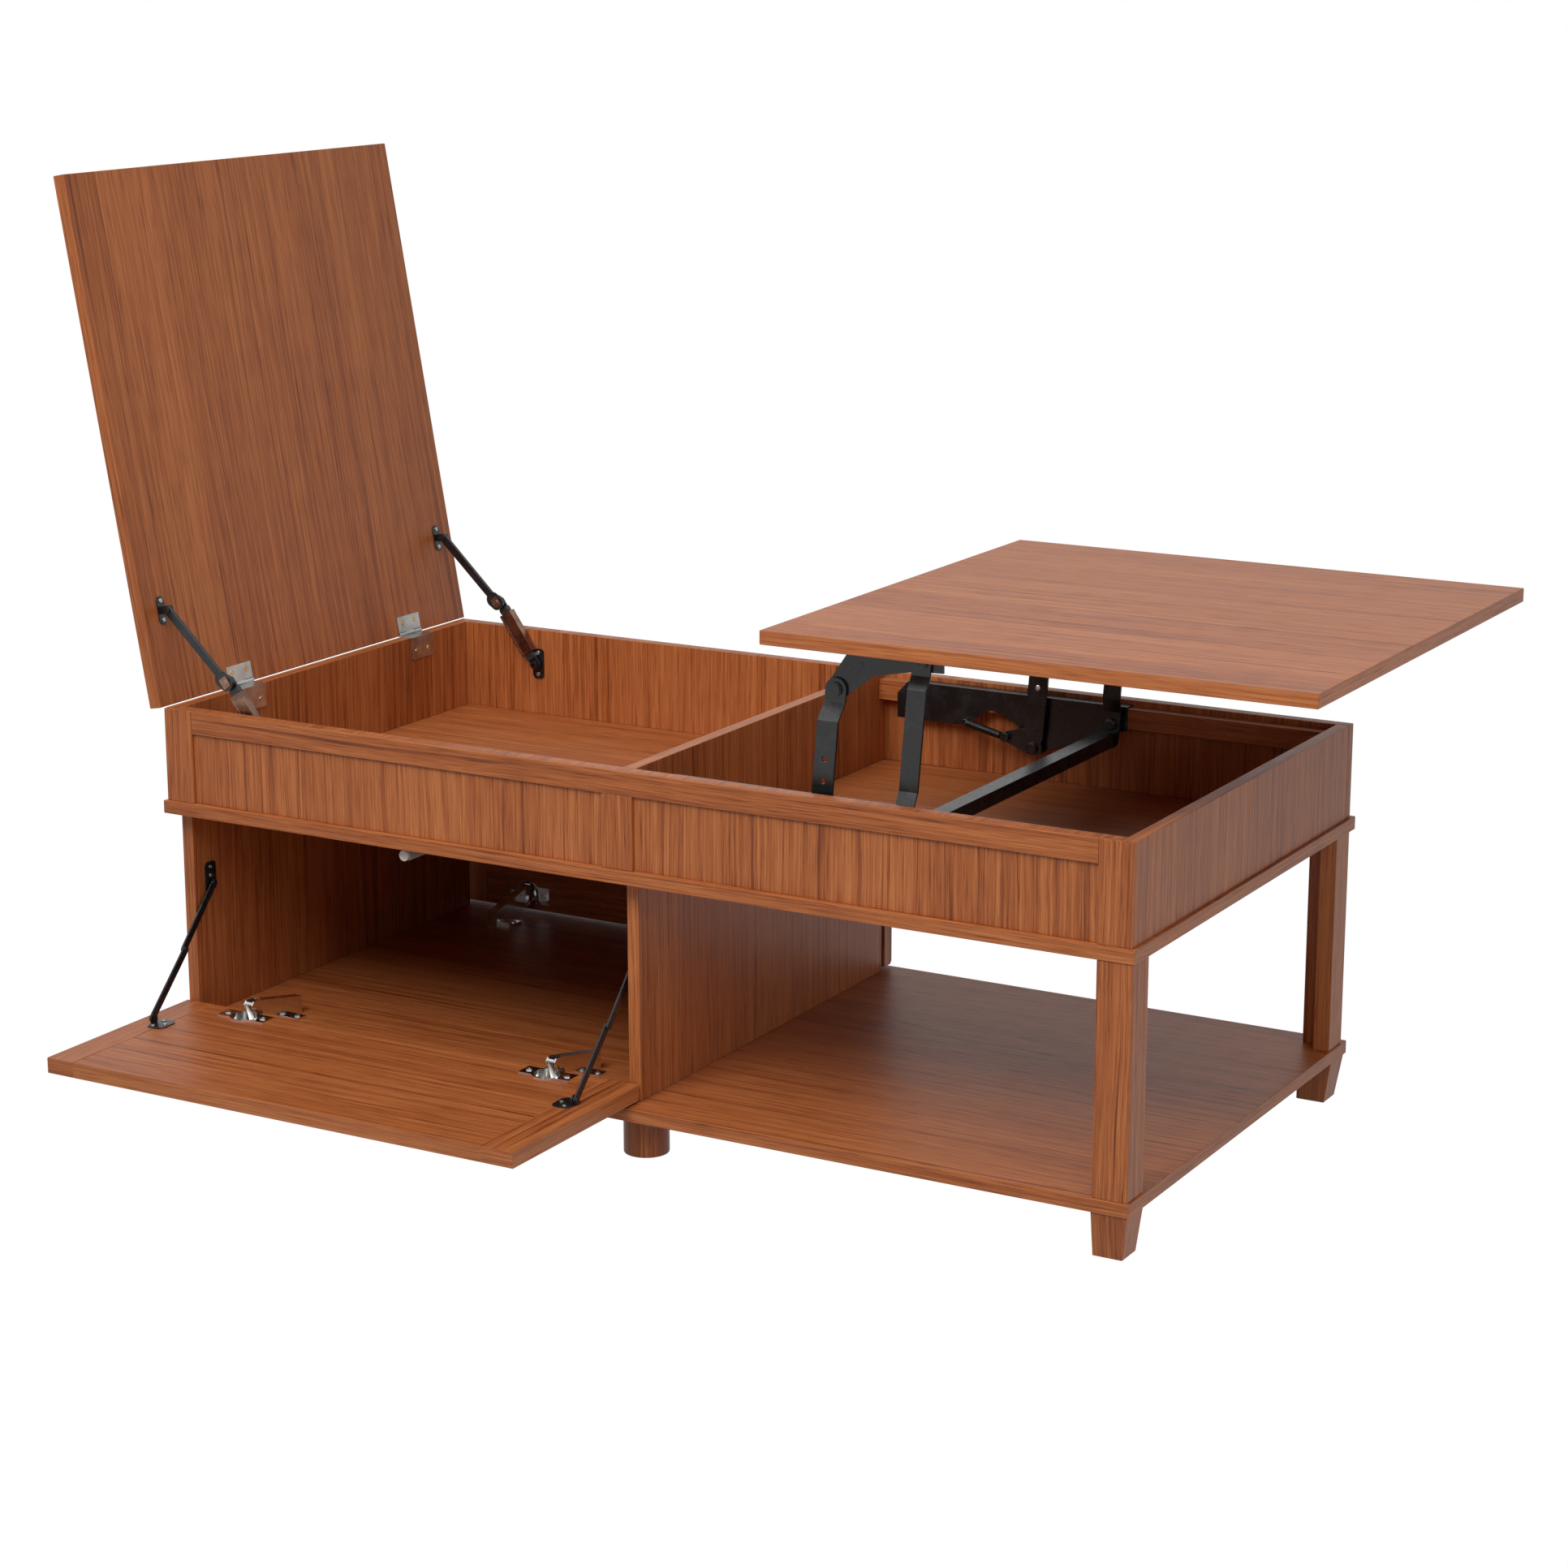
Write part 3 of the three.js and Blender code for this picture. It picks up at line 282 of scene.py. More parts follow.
@dataclass(frozen=True)
class Walnut(Finish):
    """Walnut-look laminate: planks of slightly different tone, figure, dark streaks and pores.

    The pattern follows the piece's "grain" map: U runs along the grain and V across it, in
    metres.
    """

    name: str = "walnut"
    slot: Slot = Slot.WALNUT
    dark: Colour = (0.125, 0.026, 0.006)
    middle: Colour = (0.345, 0.094, 0.024)
    light: Colour = (0.520, 0.178, 0.055)
    plank: float = 0.092
    tone: float = 0.16
    shine: float = 0.40

    def build(self) -> bpy.types.Material:
        """Makes the material."""
        tree = ShaderTree(self.name)
        grain = tree.node("ShaderNodeUVMap", {"uv_map": Bench.GRAIN})
        u, v, _ = tree.parts(grain)
        drift = tree.noise(tree.along(u * 1.7, v * 4.0, 3.1), detail=2.0)
        wavy = v + (drift - 0.5) * 0.020
        plank = (v * (1 / self.plank)).floor()
        tint = tree.node("ShaderNodeTexWhiteNoise", {"noise_dimensions": "1D"}, {"W": plank})
        shift = tint * 3.7
        figure = tree.noise(tree.along(u * 1.3 + shift, wavy * 24.0, shift))
        swell = tree.noise(tree.along(u * 0.8 + shift, wavy * 7.0, shift), 1.0, 2.0, 0.45)
        rings = ((swell * 9.0 + v * 55.0) * (2 * math.pi)).sine() * 0.5 + 0.5
        lines = tree.noise(tree.along(u * 3.2 + shift, wavy * 310.0, shift), 1.0, 3.0, 0.6)
        streak = tree.noise(tree.along(u * 1.3 + shift, wavy * 130.0, 1.7), 1.0, 3.0, 0.6)
        fibre = tree.noise(tree.along(u * 12.0, wavy * 640.0, shift), 1.0, 2.0, 0.6)
        pores = tree.noise(tree.along(u * 22.0, v * 1100.0, 5.0), 1.0, 2.0, 0.5)
        pore = pores.above(0.52, 0.66)
        level = figure * 0.38 + rings * 0.06 + lines * 0.92 + fibre * 0.95 + tint * self.tone
        level = level - streak.above(0.53, 0.68) * 0.26 - pore * 0.26 - 0.62
        height = fibre * 0.5 - pore * 0.6 + lines * 0.3
        stops = [(0.05, self.dark), (0.46, self.middle), (0.86, self.light)]
        return tree.surface(
            Base_Color=tree.ramp(level, stops),
            Roughness=self.shine + (fibre - 0.5) * 0.20 + pore * 0.08,
            Normal=tree.bump(height, 0.00016, 0.55),
            Specular_IOR_Level=0.36,
        )


@dataclass(frozen=True)
class PowderCoat(Finish):
    """Satin black coated steel: fine orange peel, faint dust and slightly polished patches."""

    name: str = "black_coat"
    slot: Slot = Slot.BLACK
    colour: Colour = (0.008, 0.008, 0.009)
    shine: float = 0.27

    def build(self) -> bpy.types.Material:
        """Makes the material."""
        tree = ShaderTree(self.name)
        place = tree.place()
        peel = tree.noise(place, 900.0, 3.0, 0.6)
        dust = tree.noise(place, 55.0, 4.0, 0.7)
        paler = tuple(min(1.0, c * 2.2 + 0.006) for c in self.colour)
        return tree.surface(
            Base_Color=tree.mix(dust.above(0.42, 0.72) * 0.6, self.colour, paler),
            Roughness=self.shine + (dust - 0.5) * 0.22,
            Normal=tree.bump(peel, 0.00006, 0.6),
            Specular_IOR_Level=0.55,
        )


@dataclass(frozen=True)
class Plated(Finish):
    """Plated or polished metal with fine brushing, cloudy patches and small pits."""

    name: str = "plated"
    slot: Slot = Slot.ZINC
    colour: Colour = (0.60, 0.60, 0.58)
    shine: float = 0.30
    cloud: float = 0.25
    stretch: tuple[float, float, float] = (40.0, 40.0, 900.0)

    def build(self) -> bpy.types.Material:
        """Makes the material."""
        tree = ShaderTree(self.name)
        place = tree.place()
        stretched = [part * by for part, by in zip(tree.parts(place), self.stretch)]
        brushed = tree.noise(tree.along(*stretched), 1.0, 4.0, 0.65)
        patch = tree.noise(place, 70.0, 4.0, 0.65)
        pits = tree.noise(place, 1400.0, 2.0, 0.5)
        darker = tuple(c * (1 - self.cloud) for c in self.colour)
        return tree.surface(
            Base_Color=tree.mix(patch.above(0.35, 0.68), darker, self.colour),
            Metallic=1.0,
            Roughness=self.shine + (patch - 0.5) * 0.16 + (brushed - 0.5) * 0.12,
            Normal=tree.bump(brushed * 0.7 + pits * 0.3, 0.00004, 0.5),
        )


@dataclass(frozen=True)
class Moulded(Finish):
    """Moulded plastic: fine spark texture and slight flow marks."""

    name: str = "moulded"
    slot: Slot = Slot.WHITE
    colour: Colour = (0.78, 0.78, 0.76)
    shine: float = 0.36

    def build(self) -> bpy.types.Material:
        """Makes the material."""
        tree = ShaderTree(self.name)
        place = tree.place()
        spark = tree.noise(place, 1600.0, 2.0, 0.5)
        flow = tree.noise(place, 45.0, 3.0, 0.6)
        darker = tuple(c * 0.82 for c in self.colour)
        return tree.surface(
            Base_Color=tree.mix(flow.above(0.3, 0.7), darker, self.colour),
            Roughness=self.shine + (flow - 0.5) * 0.15,
            Normal=tree.bump(spark, 0.00003, 0.6),
        )


WALNUT = Walnut()
BLACK_COAT = PowderCoat()
BLACK_PLASTIC = PowderCoat(name="black_plastic", colour=(0.018, 0.018, 0.019), shine=0.46)
ZINC = Plated()
NICKEL = Plated(name="nickel", slot=Slot.NICKEL, colour=(0.86, 0.85, 0.83), shine=0.13, cloud=0.10)
BRONZE = Plated(
    name="aged_bronze", slot=Slot.BRONZE, colour=(0.36, 0.21, 0.15), shine=0.30, cloud=0.5
)
BRASS = Plated(name="brass_screw", slot=Slot.BRONZE, colour=(0.70, 0.46, 0.20), shine=0.28)
SPRING_STEEL = Plated(
    name="spring_steel", slot=Slot.BLACK, colour=(0.10, 0.10, 0.105), shine=0.30, cloud=0.3
)
WHITE_CAP = Moulded()
GREY_BODY = Moulded(name="grey_plastic", colour=(0.42, 0.42, 0.41), shine=0.42)


# ---- Bench: the modelling steps that every piece goes through


class Bench:
    """Modelling steps, each an operator or a few on one piece."""

    GRAIN = "grain"
    SHARP = 28.0  # degrees between faces, past which an edge is eased
    END_GRAIN = 7.3  # metres between the figure of a board's faces and its ends

    @staticmethod
    def clear() -> None:
        """Leaves edit mode and deselects every object."""
        if bpy.context.object and bpy.context.object.mode != "OBJECT":
            bpy.ops.object.mode_set(mode="OBJECT")
        bpy.ops.object.select_all(action="DESELECT")

    @classmethod
    def pick(cls, piece: Piece) -> None:
        """Makes a piece the only selected and the active object."""
        cls.clear()
        piece.select_set(True)
        bpy.context.view_layer.objects.active = piece

    @classmethod
    @contextmanager
    def editing(cls, piece: Piece, action: str = "SELECT") -> Iterator[None]:
        """Opens a piece in edit mode with all of it selected, or none for "DESELECT"."""
        cls.pick(piece)
        bpy.ops.object.mode_set(mode="EDIT")
        bpy.ops.mesh.select_all(action=action)
        yield
        bpy.ops.object.mode_set(mode="OBJECT")

    @classmethod
    def modify(cls, piece: Piece, kind: str, **settings: object) -> None:
        """Adds a modifier with its settings and applies it."""
        cls.pick(piece)
        modifier = piece.modifiers.new(kind.lower(), kind)
        for name, value in settings.items():
            setattr(modifier, name, value)
        bpy.ops.object.modifier_apply(modifier=modifier.name)

    @classmethod
    def settle(cls, piece: Piece) -> Piece:
        """Applies the object's place, turn and scale to its mesh."""
        cls.pick(piece)
        bpy.ops.object.transform_apply(location=True, rotation=True, scale=True)
        return piece

    @classmethod
    def block(cls, name: str, low: Point, high: Point) -> Piece:
        """Adds a box between two opposite corners.

        Args:
            name: The piece's name.
            low: One corner, in millimetres.
            high: The opposite corner, in millimetres.

        Returns:
            The piece, with its place in its mesh.
        """
        cls.clear()
        middle = [(a + b) / 2 * MM for a, b in zip(low, high)]
        bpy.ops.mesh.primitive_cube_add(size=1.0, location=middle)
        piece = bpy.context.object
        piece.scale = [abs(b - a) * MM for a, b in zip(low, high)]
        piece.name = name
        return cls.settle(piece)

    @classmethod
    def plate(
        cls,
        name: str,
        low: Point,
        high: Point,
        axis: Point,
        radius: float,
    ) -> Piece:
        """Adds a box with the corners along one axis rounded.

        Args:
            name: The piece's name.
            low: One corner, in millimetres.
            high: The opposite corner, in millimetres.
            axis: Direction of the edges that are rounded.
            radius: Their radius, in millimetres.

        Returns:
            The piece, with its place in its mesh.
        """
        piece = cls.block(name, low, high)
        with cls.editing(piece, "DESELECT"):
            bpy.ops.mesh.select_mode(type="EDGE")
        points = piece.data.vertices
        for edge in piece.data.edges:
            run = points[edge.vertices[1]].co - points[edge.vertices[0]].co
            edge.select = abs(run.normalized().dot(Vector(axis))) > 0.99
        bpy.ops.object.mode_set(mode="EDIT")
        bpy.ops.mesh.bevel(offset=radius * MM, segments=6, affect="EDGES", clamp_overlap=True)
        bpy.ops.object.mode_set(mode="OBJECT")
        return piece

    @classmethod
    def disc(
        cls,
        name: str,
        at: Point,
        axis: Point,
        radius: float,
        thick: float,
        sides: int = 32,
    ) -> Piece:
        """Adds a round bar or disc from a point along an axis.

        Args:
            name: The piece's name.
            at: Middle of its first face, in millimetres.
            axis: Direction that it stands up in.
            radius: Radius, in millimetres.
            thick: Length, in millimetres.
            sides: Number of sides.

        Returns:
            The piece, with its place in its mesh.
        """
        cls.clear()
        way = Vector(axis).normalized()
        middle = (Vector(at) + way * thick / 2) * MM
        bpy.ops.mesh.primitive_cylinder_add(
            vertices=sides,
            radius=radius * MM,
            depth=thick * MM,
            location=middle,
            rotation=way.to_track_quat("Z", "Y").to_euler(),
        )
        piece = bpy.context.object
        piece.name = name
        return cls.settle(piece)

    @classmethod
    def choose_faces(
        cls, piece: Piece, test: Callable[[bpy.types.MeshPolygon], bool]
    ) -> None:
        """Selects the faces that pass a test and enters edit mode."""
        with cls.editing(piece, "DESELECT"):
            bpy.ops.mesh.select_mode(type="FACE")
        for face in piece.data.polygons:
            face.select = bool(test(face))
        bpy.ops.object.mode_set(mode="EDIT")

    @classmethod
    def recess(cls, piece: Piece, rim: float, deep: float) -> None:
        """Sinks the front face of a piece inside a rim, both in millimetres."""
        cls.choose_faces(piece, lambda face: face.normal.y < -0.9)
        bpy.ops.mesh.inset(thickness=rim * MM)
        bpy.ops.mesh.extrude_region_move(TRANSFORM_OT_translate={"value": (0, deep * MM, 0)})
        bpy.ops.object.mode_set(mode="OBJECT")

    @classmethod
    def ease_edges(cls, piece: Piece, width: float, segments: int = 2) -> None:
        """Rounds the sharp edges of a piece to a width in millimetres."""
        cls.modify(
            piece,
            "BEVEL",
            width=width * MM,
            segments=segments,
            limit_method="ANGLE",
            angle_limit=math.radians(cls.SHARP),
            use_clamp_overlap=True,
            miter_outer="MITER_ARC",
        )

    @classmethod
    def smooth(cls, piece: Piece, angle: float = 40.0) -> None:
        """Shades a piece smooth, with sharp edges past an angle in degrees."""
        cls.pick(piece)
        bpy.ops.object.shade_smooth_by_angle(angle=math.radians(angle))
        cls.modify(piece, "WEIGHTED_NORMAL", keep_sharp=True)

    @classmethod
    def copy_of(cls, node: str, name: str) -> Piece:
        """Copies a CAD node to a new piece with merged, flat faces."""
        cls.clear()
        source = frame["nodes"][node]
        piece = bpy.data.objects.new(name, source.data.copy())
        bpy.context.scene.collection.objects.link(piece)
        piece.data.materials.clear()
        cls.pick(piece)
        bpy.ops.mesh.customdata_custom_splitnormals_clear()
        with cls.editing(piece):
            bpy.ops.mesh.remove_doubles(threshold=0.01 * MM)
            bpy.ops.mesh.dissolve_limited(angle_limit=math.radians(0.8), delimit=set())
        return piece

    @classmethod
    def joined(cls, name: str, pieces: Sequence[Piece]) -> Piece:
        """Joins pieces into one and names it."""
        cls.pick(pieces[0])
        for piece in pieces[1:]:
            piece.select_set(True)
        if len(pieces) > 1:
            bpy.ops.object.join()
        pieces[0].name = name
        return pieces[0]

    @classmethod
    def turned(
        cls, piece: Piece, pivot: Point, turn: Matrix
    ) -> Piece:
        """Turns a piece about a point in millimetres and applies it."""
        at = Matrix.Translation(Vector(pivot) * MM)
        piece.matrix_world = at @ turn.to_4x4() @ at.inverted() @ piece.matrix_world
        return cls.settle(piece)

    @classmethod
    def cut(cls, piece: Piece, tool: Piece) -> None:
        """Cuts a tool's shape out of a piece and removes the tool."""
        cls.modify(piece, "BOOLEAN", operation="DIFFERENCE", solver="EXACT", object=tool)
        bpy.data.objects.remove(tool)

    @classmethod
    def lay_grain(cls, piece: Piece, along: Along) -> None:
        """Gives a board its grain map: U along the grain and V across it, in metres.

        Args:
            piece: The board.
            along: Direction of its grain.
        """
        dice = random.Random(piece.name)
        shift_u, shift_v = dice.uniform(0, 40), dice.uniform(0, 40)
        way = Vector(along.value)
        mesh = piece.data
        layer = mesh.uv_layers.get(cls.GRAIN) or mesh.uv_layers.new(name=cls.GRAIN)
        for face in mesh.polygons:
            normal = face.normal
            if abs(normal.dot(way)) > 0.7:
                first = Vector((0, 1, 0)) if abs(normal.y) < 0.5 else Vector((1, 0, 0))
                second, extra = way.cross(first), cls.END_GRAIN
            else:
                first, second, extra = way, normal.cross(way).normalized(), 0.0
                if max(second, key=abs) < 0:
                    second = -second
            for loop in face.loop_indices:
                at = mesh.vertices[mesh.loops[loop].vertex_index].co
                layer.data[loop].uv = (
                    at.dot(first) + shift_u + extra,
                    at.dot(second) + shift_v + normal.dot(second),
                )

    @classmethod
    def dress(
        cls,
        piece: Piece,
        body: str,
        finish: Finish,
        stands_for: Sequence[str] = (),
    ) -> None:
        """Gives a piece its finish and the body that it moves with, and reports it.

        Args:
            piece: The piece.
            body: The CAD body.
            finish: The finish.
            stands_for: CAD nodes that it stands for.
        """
        piece.data.materials.clear()
        piece.data.materials.append(finish.material())
        for face in piece.data.polygons:
            face.material_index = 0
        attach(piece, body)
        if stands_for:
            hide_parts(*stands_for)
        log.info("%s: %d faces, rides on %s", piece.name, len(piece.data.polygons), body)

    @classmethod
    def complete(
        cls,
        piece: Piece,
        body: str,
        finish: Finish,
        ease: float = 0.25,
        angle: float = 40.0,
        segments: int = 2,
        turn: tuple[Point, Matrix] | None = None,
        grain: Along | None = None,
        stands_for: Sequence[str] = (),
    ) -> None:
        """Eases, turns, smooths and dresses a modelled piece.

        Args:
            piece: The piece.
            body: The CAD body.
            finish: The finish.
            ease: Width of its eased edges, in millimetres.
            angle: Angle in degrees past which its edges stay sharp.
            segments: Faces across each eased edge.
            turn: Pivot in millimetres and turn, for a piece that was drawn straight.
            grain: Direction of its grain, for a board.
            stands_for: CAD nodes that it stands for.
        """
        cls.ease_edges(piece, ease, segments)
        if turn:
            cls.turned(piece, *turn)
        cls.smooth(piece, angle)
        if grain:
            cls.lay_grain(piece, grain)
        cls.dress(piece, body, finish, stands_for)


# ---- Boards


@dataclass
class Boards:
    """The laminated boards that stay as the CAD has them, with eased edges."""

    ease: float = 1.0
    lengthwise: tuple[str, ...] = ("bottom_shelf", "middle_board", "cleat_back", "cleat_front")
    fixed: tuple[str, ...] = (
        "bottom_shelf",
        "middle_board",
        "cabinet_partition",
        "cabinet_side",
        "cleat_back",
        "cleat_front",
        "divider",
        *(f"foot_{place}" for place in ("back_left", "back_right", "front_left", "front_right")),
        *(f"centre_foot_{side}" for side in ("back", "front")),
        *(f"leg_{side}_right" for side in ("back", "front")),
        *(f"wall_{side}" for side in ("back", "front", "left", "right")),
    )

    def build(self) -> None:
        """Makes every board."""
        for node in self.fixed:
            self.board(node, Along.LENGTH if node in self.lengthwise else Along.HEIGHT)
        self.board("lift_top", Along.LENGTH, "lift_table")
        self.board("flap_lid", Along.OPEN_FLAP, "flap")

    def board(self, node: str, along: Along, body: str = "frame") -> None:
        """Makes one board from its CAD node."""
        piece = Bench.copy_of(node, f"{node}_board")
        Bench.complete(piece, body, WALNUT, self.ease, grain=along, stands_for=[node])


@dataclass
class FaceFrame:
    """The front of the upper frame: three stiles and a top rail on the boxed walls."""

    stile: float = 38.0
    rail: float = 26.0
    centre: float = 5.0
    ease: float = 1.2

    def build(self) -> None:
        """Makes the four boards of the face frame."""
        low, high = (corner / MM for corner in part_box("face_frame"))
        parts = {
            "left_stile": ((low.x, low.z), (low.x + self.stile, high.z)),
            "right_stile": ((high.x - self.stile, low.z), (high.x, high.z)),
            "centre_stile": (
                (self.centre - self.stile / 2, low.z),
                (self.centre + self.stile / 2, high.z - self.rail),
            ),
            "top_rail": (
                (low.x + self.stile, high.z - self.rail),
                (high.x - self.stile, high.z),
            ),
        }
        for name, (start, end) in parts.items():
            piece = Bench.block(
                f"face_{name}", (start[0], low.y, start[1]), (end[0], high.y, end[1])
            )
            along = Along.LENGTH if name == "top_rail" else Along.HEIGHT
            Bench.complete(
                piece, "frame", WALNUT, self.ease, grain=along, stands_for=["face_frame"]
            )


@dataclass
class Doors:
    """The two cabinet doors: a stile at each end with a fine seam, and long boards between."""

    ease: float = 0.8
    seams: tuple[float, float] = (-559.5, -22.8)
    seam_width: float = 1.6
    seam_depth: float = 0.9
    face_depth: float = 0.3

    def build(self) -> None:
        """Makes both doors."""
        self.door("door_front", "front_door", Along.DEPTH, 2)
        self.door("door_back", "back_door", Along.HEIGHT, 1)

    def door(self, node: str, body: str, stile_grain: Along, thick_axis: int) -> None:
        """Makes one door.

        Args:
            node: The CAD node.
            body: The body that it rides on.
            stile_grain: Direction of the grain of the end stiles.
            thick_axis: Axis of the door's thickness, 1 for Y and 2 for Z.
        """
        low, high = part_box(node)
        middle = (low[thick_axis] + high[thick_axis]) / 2
        inside = (high[thick_axis] - low[thick_axis]) / 2 - self.face_depth * MM
        piece = Bench.copy_of(node, f"{node}_boards")
        Bench.ease_edges(piece, self.ease)
        for seam in self.seams:
            for step in (-0.5, 0.0, 0.5):
                self.split(piece, (seam + step * self.seam_width) * MM)
            for point in piece.data.vertices:
                off = point.co[thick_axis] - middle
                if abs(point.co.x - seam * MM) < 0.01 * MM and abs(off) > inside:
                    point.co[thick_axis] -= math.copysign(self.seam_depth * MM, off)
        Bench.smooth(piece, 30.0)
        Bench.lay_grain(piece, Along.LENGTH)
        self.lay_stiles(piece, stile_grain)
        Bench.dress(piece, body, WALNUT, [node])

    @staticmethod
    def split(piece: Piece, x: float) -> None:
        """Splits the faces of a door along the line across it at x, in metres."""
        with Bench.editing(piece):
            bpy.ops.mesh.bisect(plane_co=(x, 0, 0), plane_no=(1, 0, 0))

    def lay_stiles(self, piece: Piece, along: Along) -> None:
        """Turns the grain of the end stiles."""
        layer = piece.data.uv_layers[Bench.GRAIN]
        kept = [entry.uv.copy() for entry in layer.data]
        Bench.lay_grain(piece, along)
        left, right = (seam * MM for seam in self.seams)
        for face in piece.data.polygons:
            if left < face.center.x < right:
                for loop in face.loop_indices:
                    layer.data[loop].uv = kept[loop]


# ---- Hardware


@dataclass
class Hardware:
    """Metal and plastic parts that keep the CAD's shape, with eased edges."""

    ease: float = 0.3
    cup_ease: float = 0.5
    sharp_from: float = 45.0
    lift_sharp_from: float = 15.0
    finishes: dict[str, Finish] = field(
        default_factory=lambda: {
            "lift_": BLACK_COAT,
            "lid_stay_rod": BLACK_COAT,
            "lid_stay_damper": BLACK_COAT,
            "lid_hinge": ZINC,
            "door_hinge": NICKEL,
            "door_stay": BLACK_COAT,
            "latch_body": GREY_BODY,
            "latch_plunger": WHITE_CAP,
        }
    )

    def build(self) -> None:
        """Makes and dresses every hardware piece."""
        for body, nodes in frame["record"]["behaviour"]["bodies"].items():
            for node in nodes:
                finish = self.finish_of(node)
                if finish:
                    ease = self.cup_ease if "hinge_cup" in node else self.ease
                    angle = self.lift_sharp_from if node.startswith("lift_") else self.sharp_from
                    piece = Bench.copy_of(node, f"{node}_part")
                    Bench.complete(piece, body, finish, ease, angle, stands_for=[node])

    def finish_of(self, node: str) -> Finish | None:
        """Finish of a CAD node, or None for a board."""
        found = [finish for start, finish in self.finishes.items() if node.startswith(start)]
        return found[0] if found and node != "lift_top" else None


@dataclass
class Fasteners:
    """Screw and rivet heads, modelled once for each size and copied."""

    made: dict[tuple[float, float, bool], Piece] = field(default_factory=dict)

    def head(self, radius: float, thick: float, cross: bool) -> Piece:
        """Models one head at the origin, facing up.

        Args:
            radius: Radius, in millimetres.
            thick: Height, in millimetres.
            cross: Whether it has a cross recess; otherwise it has a turned rim.

        Returns:
            The head.
        """
        key = (radius, thick, cross)
        if key in self.made:
            return self.made[key]
        head = Bench.disc("head", (0, 0, 0), (0, 0, 1), radius, thick, 28)
        Bench.choose_faces(head, lambda face: face.normal.z > 0.9)
        bpy.ops.mesh.inset(thickness=radius * 0.18 * MM)
        bpy.ops.transform.translate(value=(0, 0, thick * 0.22 * MM))
        if not cross:
            bpy.ops.mesh.inset(thickness=radius * 0.27 * MM)
            sunk = {"value": (0, 0, -thick * 0.4 * MM)}
            bpy.ops.mesh.extrude_region_move(TRANSFORM_OT_translate=sunk)
        bpy.ops.object.mode_set(mode="OBJECT")
        if cross:
            for wide, deep in ((radius * 0.62, radius * 0.13), (radius * 0.13, radius * 0.62)):
                tool = Bench.block("tool", (-wide, -deep, thick * 0.5), (wide, deep, thick * 2))
                Bench.cut(head, tool)
        Bench.ease_edges(head, 0.12)
        self.made[key] = head
        return head

    def drive(
        self,
        name: str,
        body: str,
        finish: Finish,
        spots: Spots,
        radius: float,
        thick: float,
        cross: bool = True,
    ) -> None:
        """Sets heads in their places.

        Args:
            name: Name of the group.
            body: The body that they ride on.
            finish: Their finish.
            spots: Foot and direction of each head, the foot in millimetres.
            radius: Radius, in millimetres.
            thick: Height, in millimetres.
            cross: Whether they have a cross recess.
        """
        dice = random.Random(name)
        template = self.head(radius, thick, cross)
        copies = []
        for foot, way in spots:
            copy = template.copy()
            copy.data = template.data.copy()
            bpy.context.scene.collection.objects.link(copy)
            facing = Vector(way).normalized().to_track_quat("Z", "Y").to_matrix()
            spin = Matrix.Rotation(dice.uniform(0, math.pi), 3, "Z")
            copy.matrix_world = Matrix.Translation(Vector(foot) * MM) @ (facing @ spin).to_4x4()
            copies.append(Bench.settle(copy))
        piece = Bench.joined(name, copies)
        Bench.smooth(piece, 35.0)
        Bench.dress(piece, body, finish)

    def put_away(self) -> None:
        """Removes the heads that were copied."""
        for head in self.made.values():
            bpy.data.objects.remove(head)
        self.made.clear()


HEADS = Fasteners()


@dataclass(frozen=True)
class OpenFlap:
    """The flap's hinge line, in millimetres, and the angle that the flap stands open at."""

    at: tuple[float, float, float] = (-598.5, 0.0, 434.5)
    opened: float = 100.0

    def turn(self) -> Matrix:
        """Turn from the shut flap to the open one."""
        return Matrix.Rotation(math.radians(-self.opened), 3, "Y")

    def under(self, offset: Vector) -> tuple[Vector, Vector]:
        """Foot and direction of a screw under the flap, from its offset to the hinge line."""
        return Vector(self.at) + self.turn() @ offset, self.turn() @ Vector((0, 0, -1))


FLAP = OpenFlap()


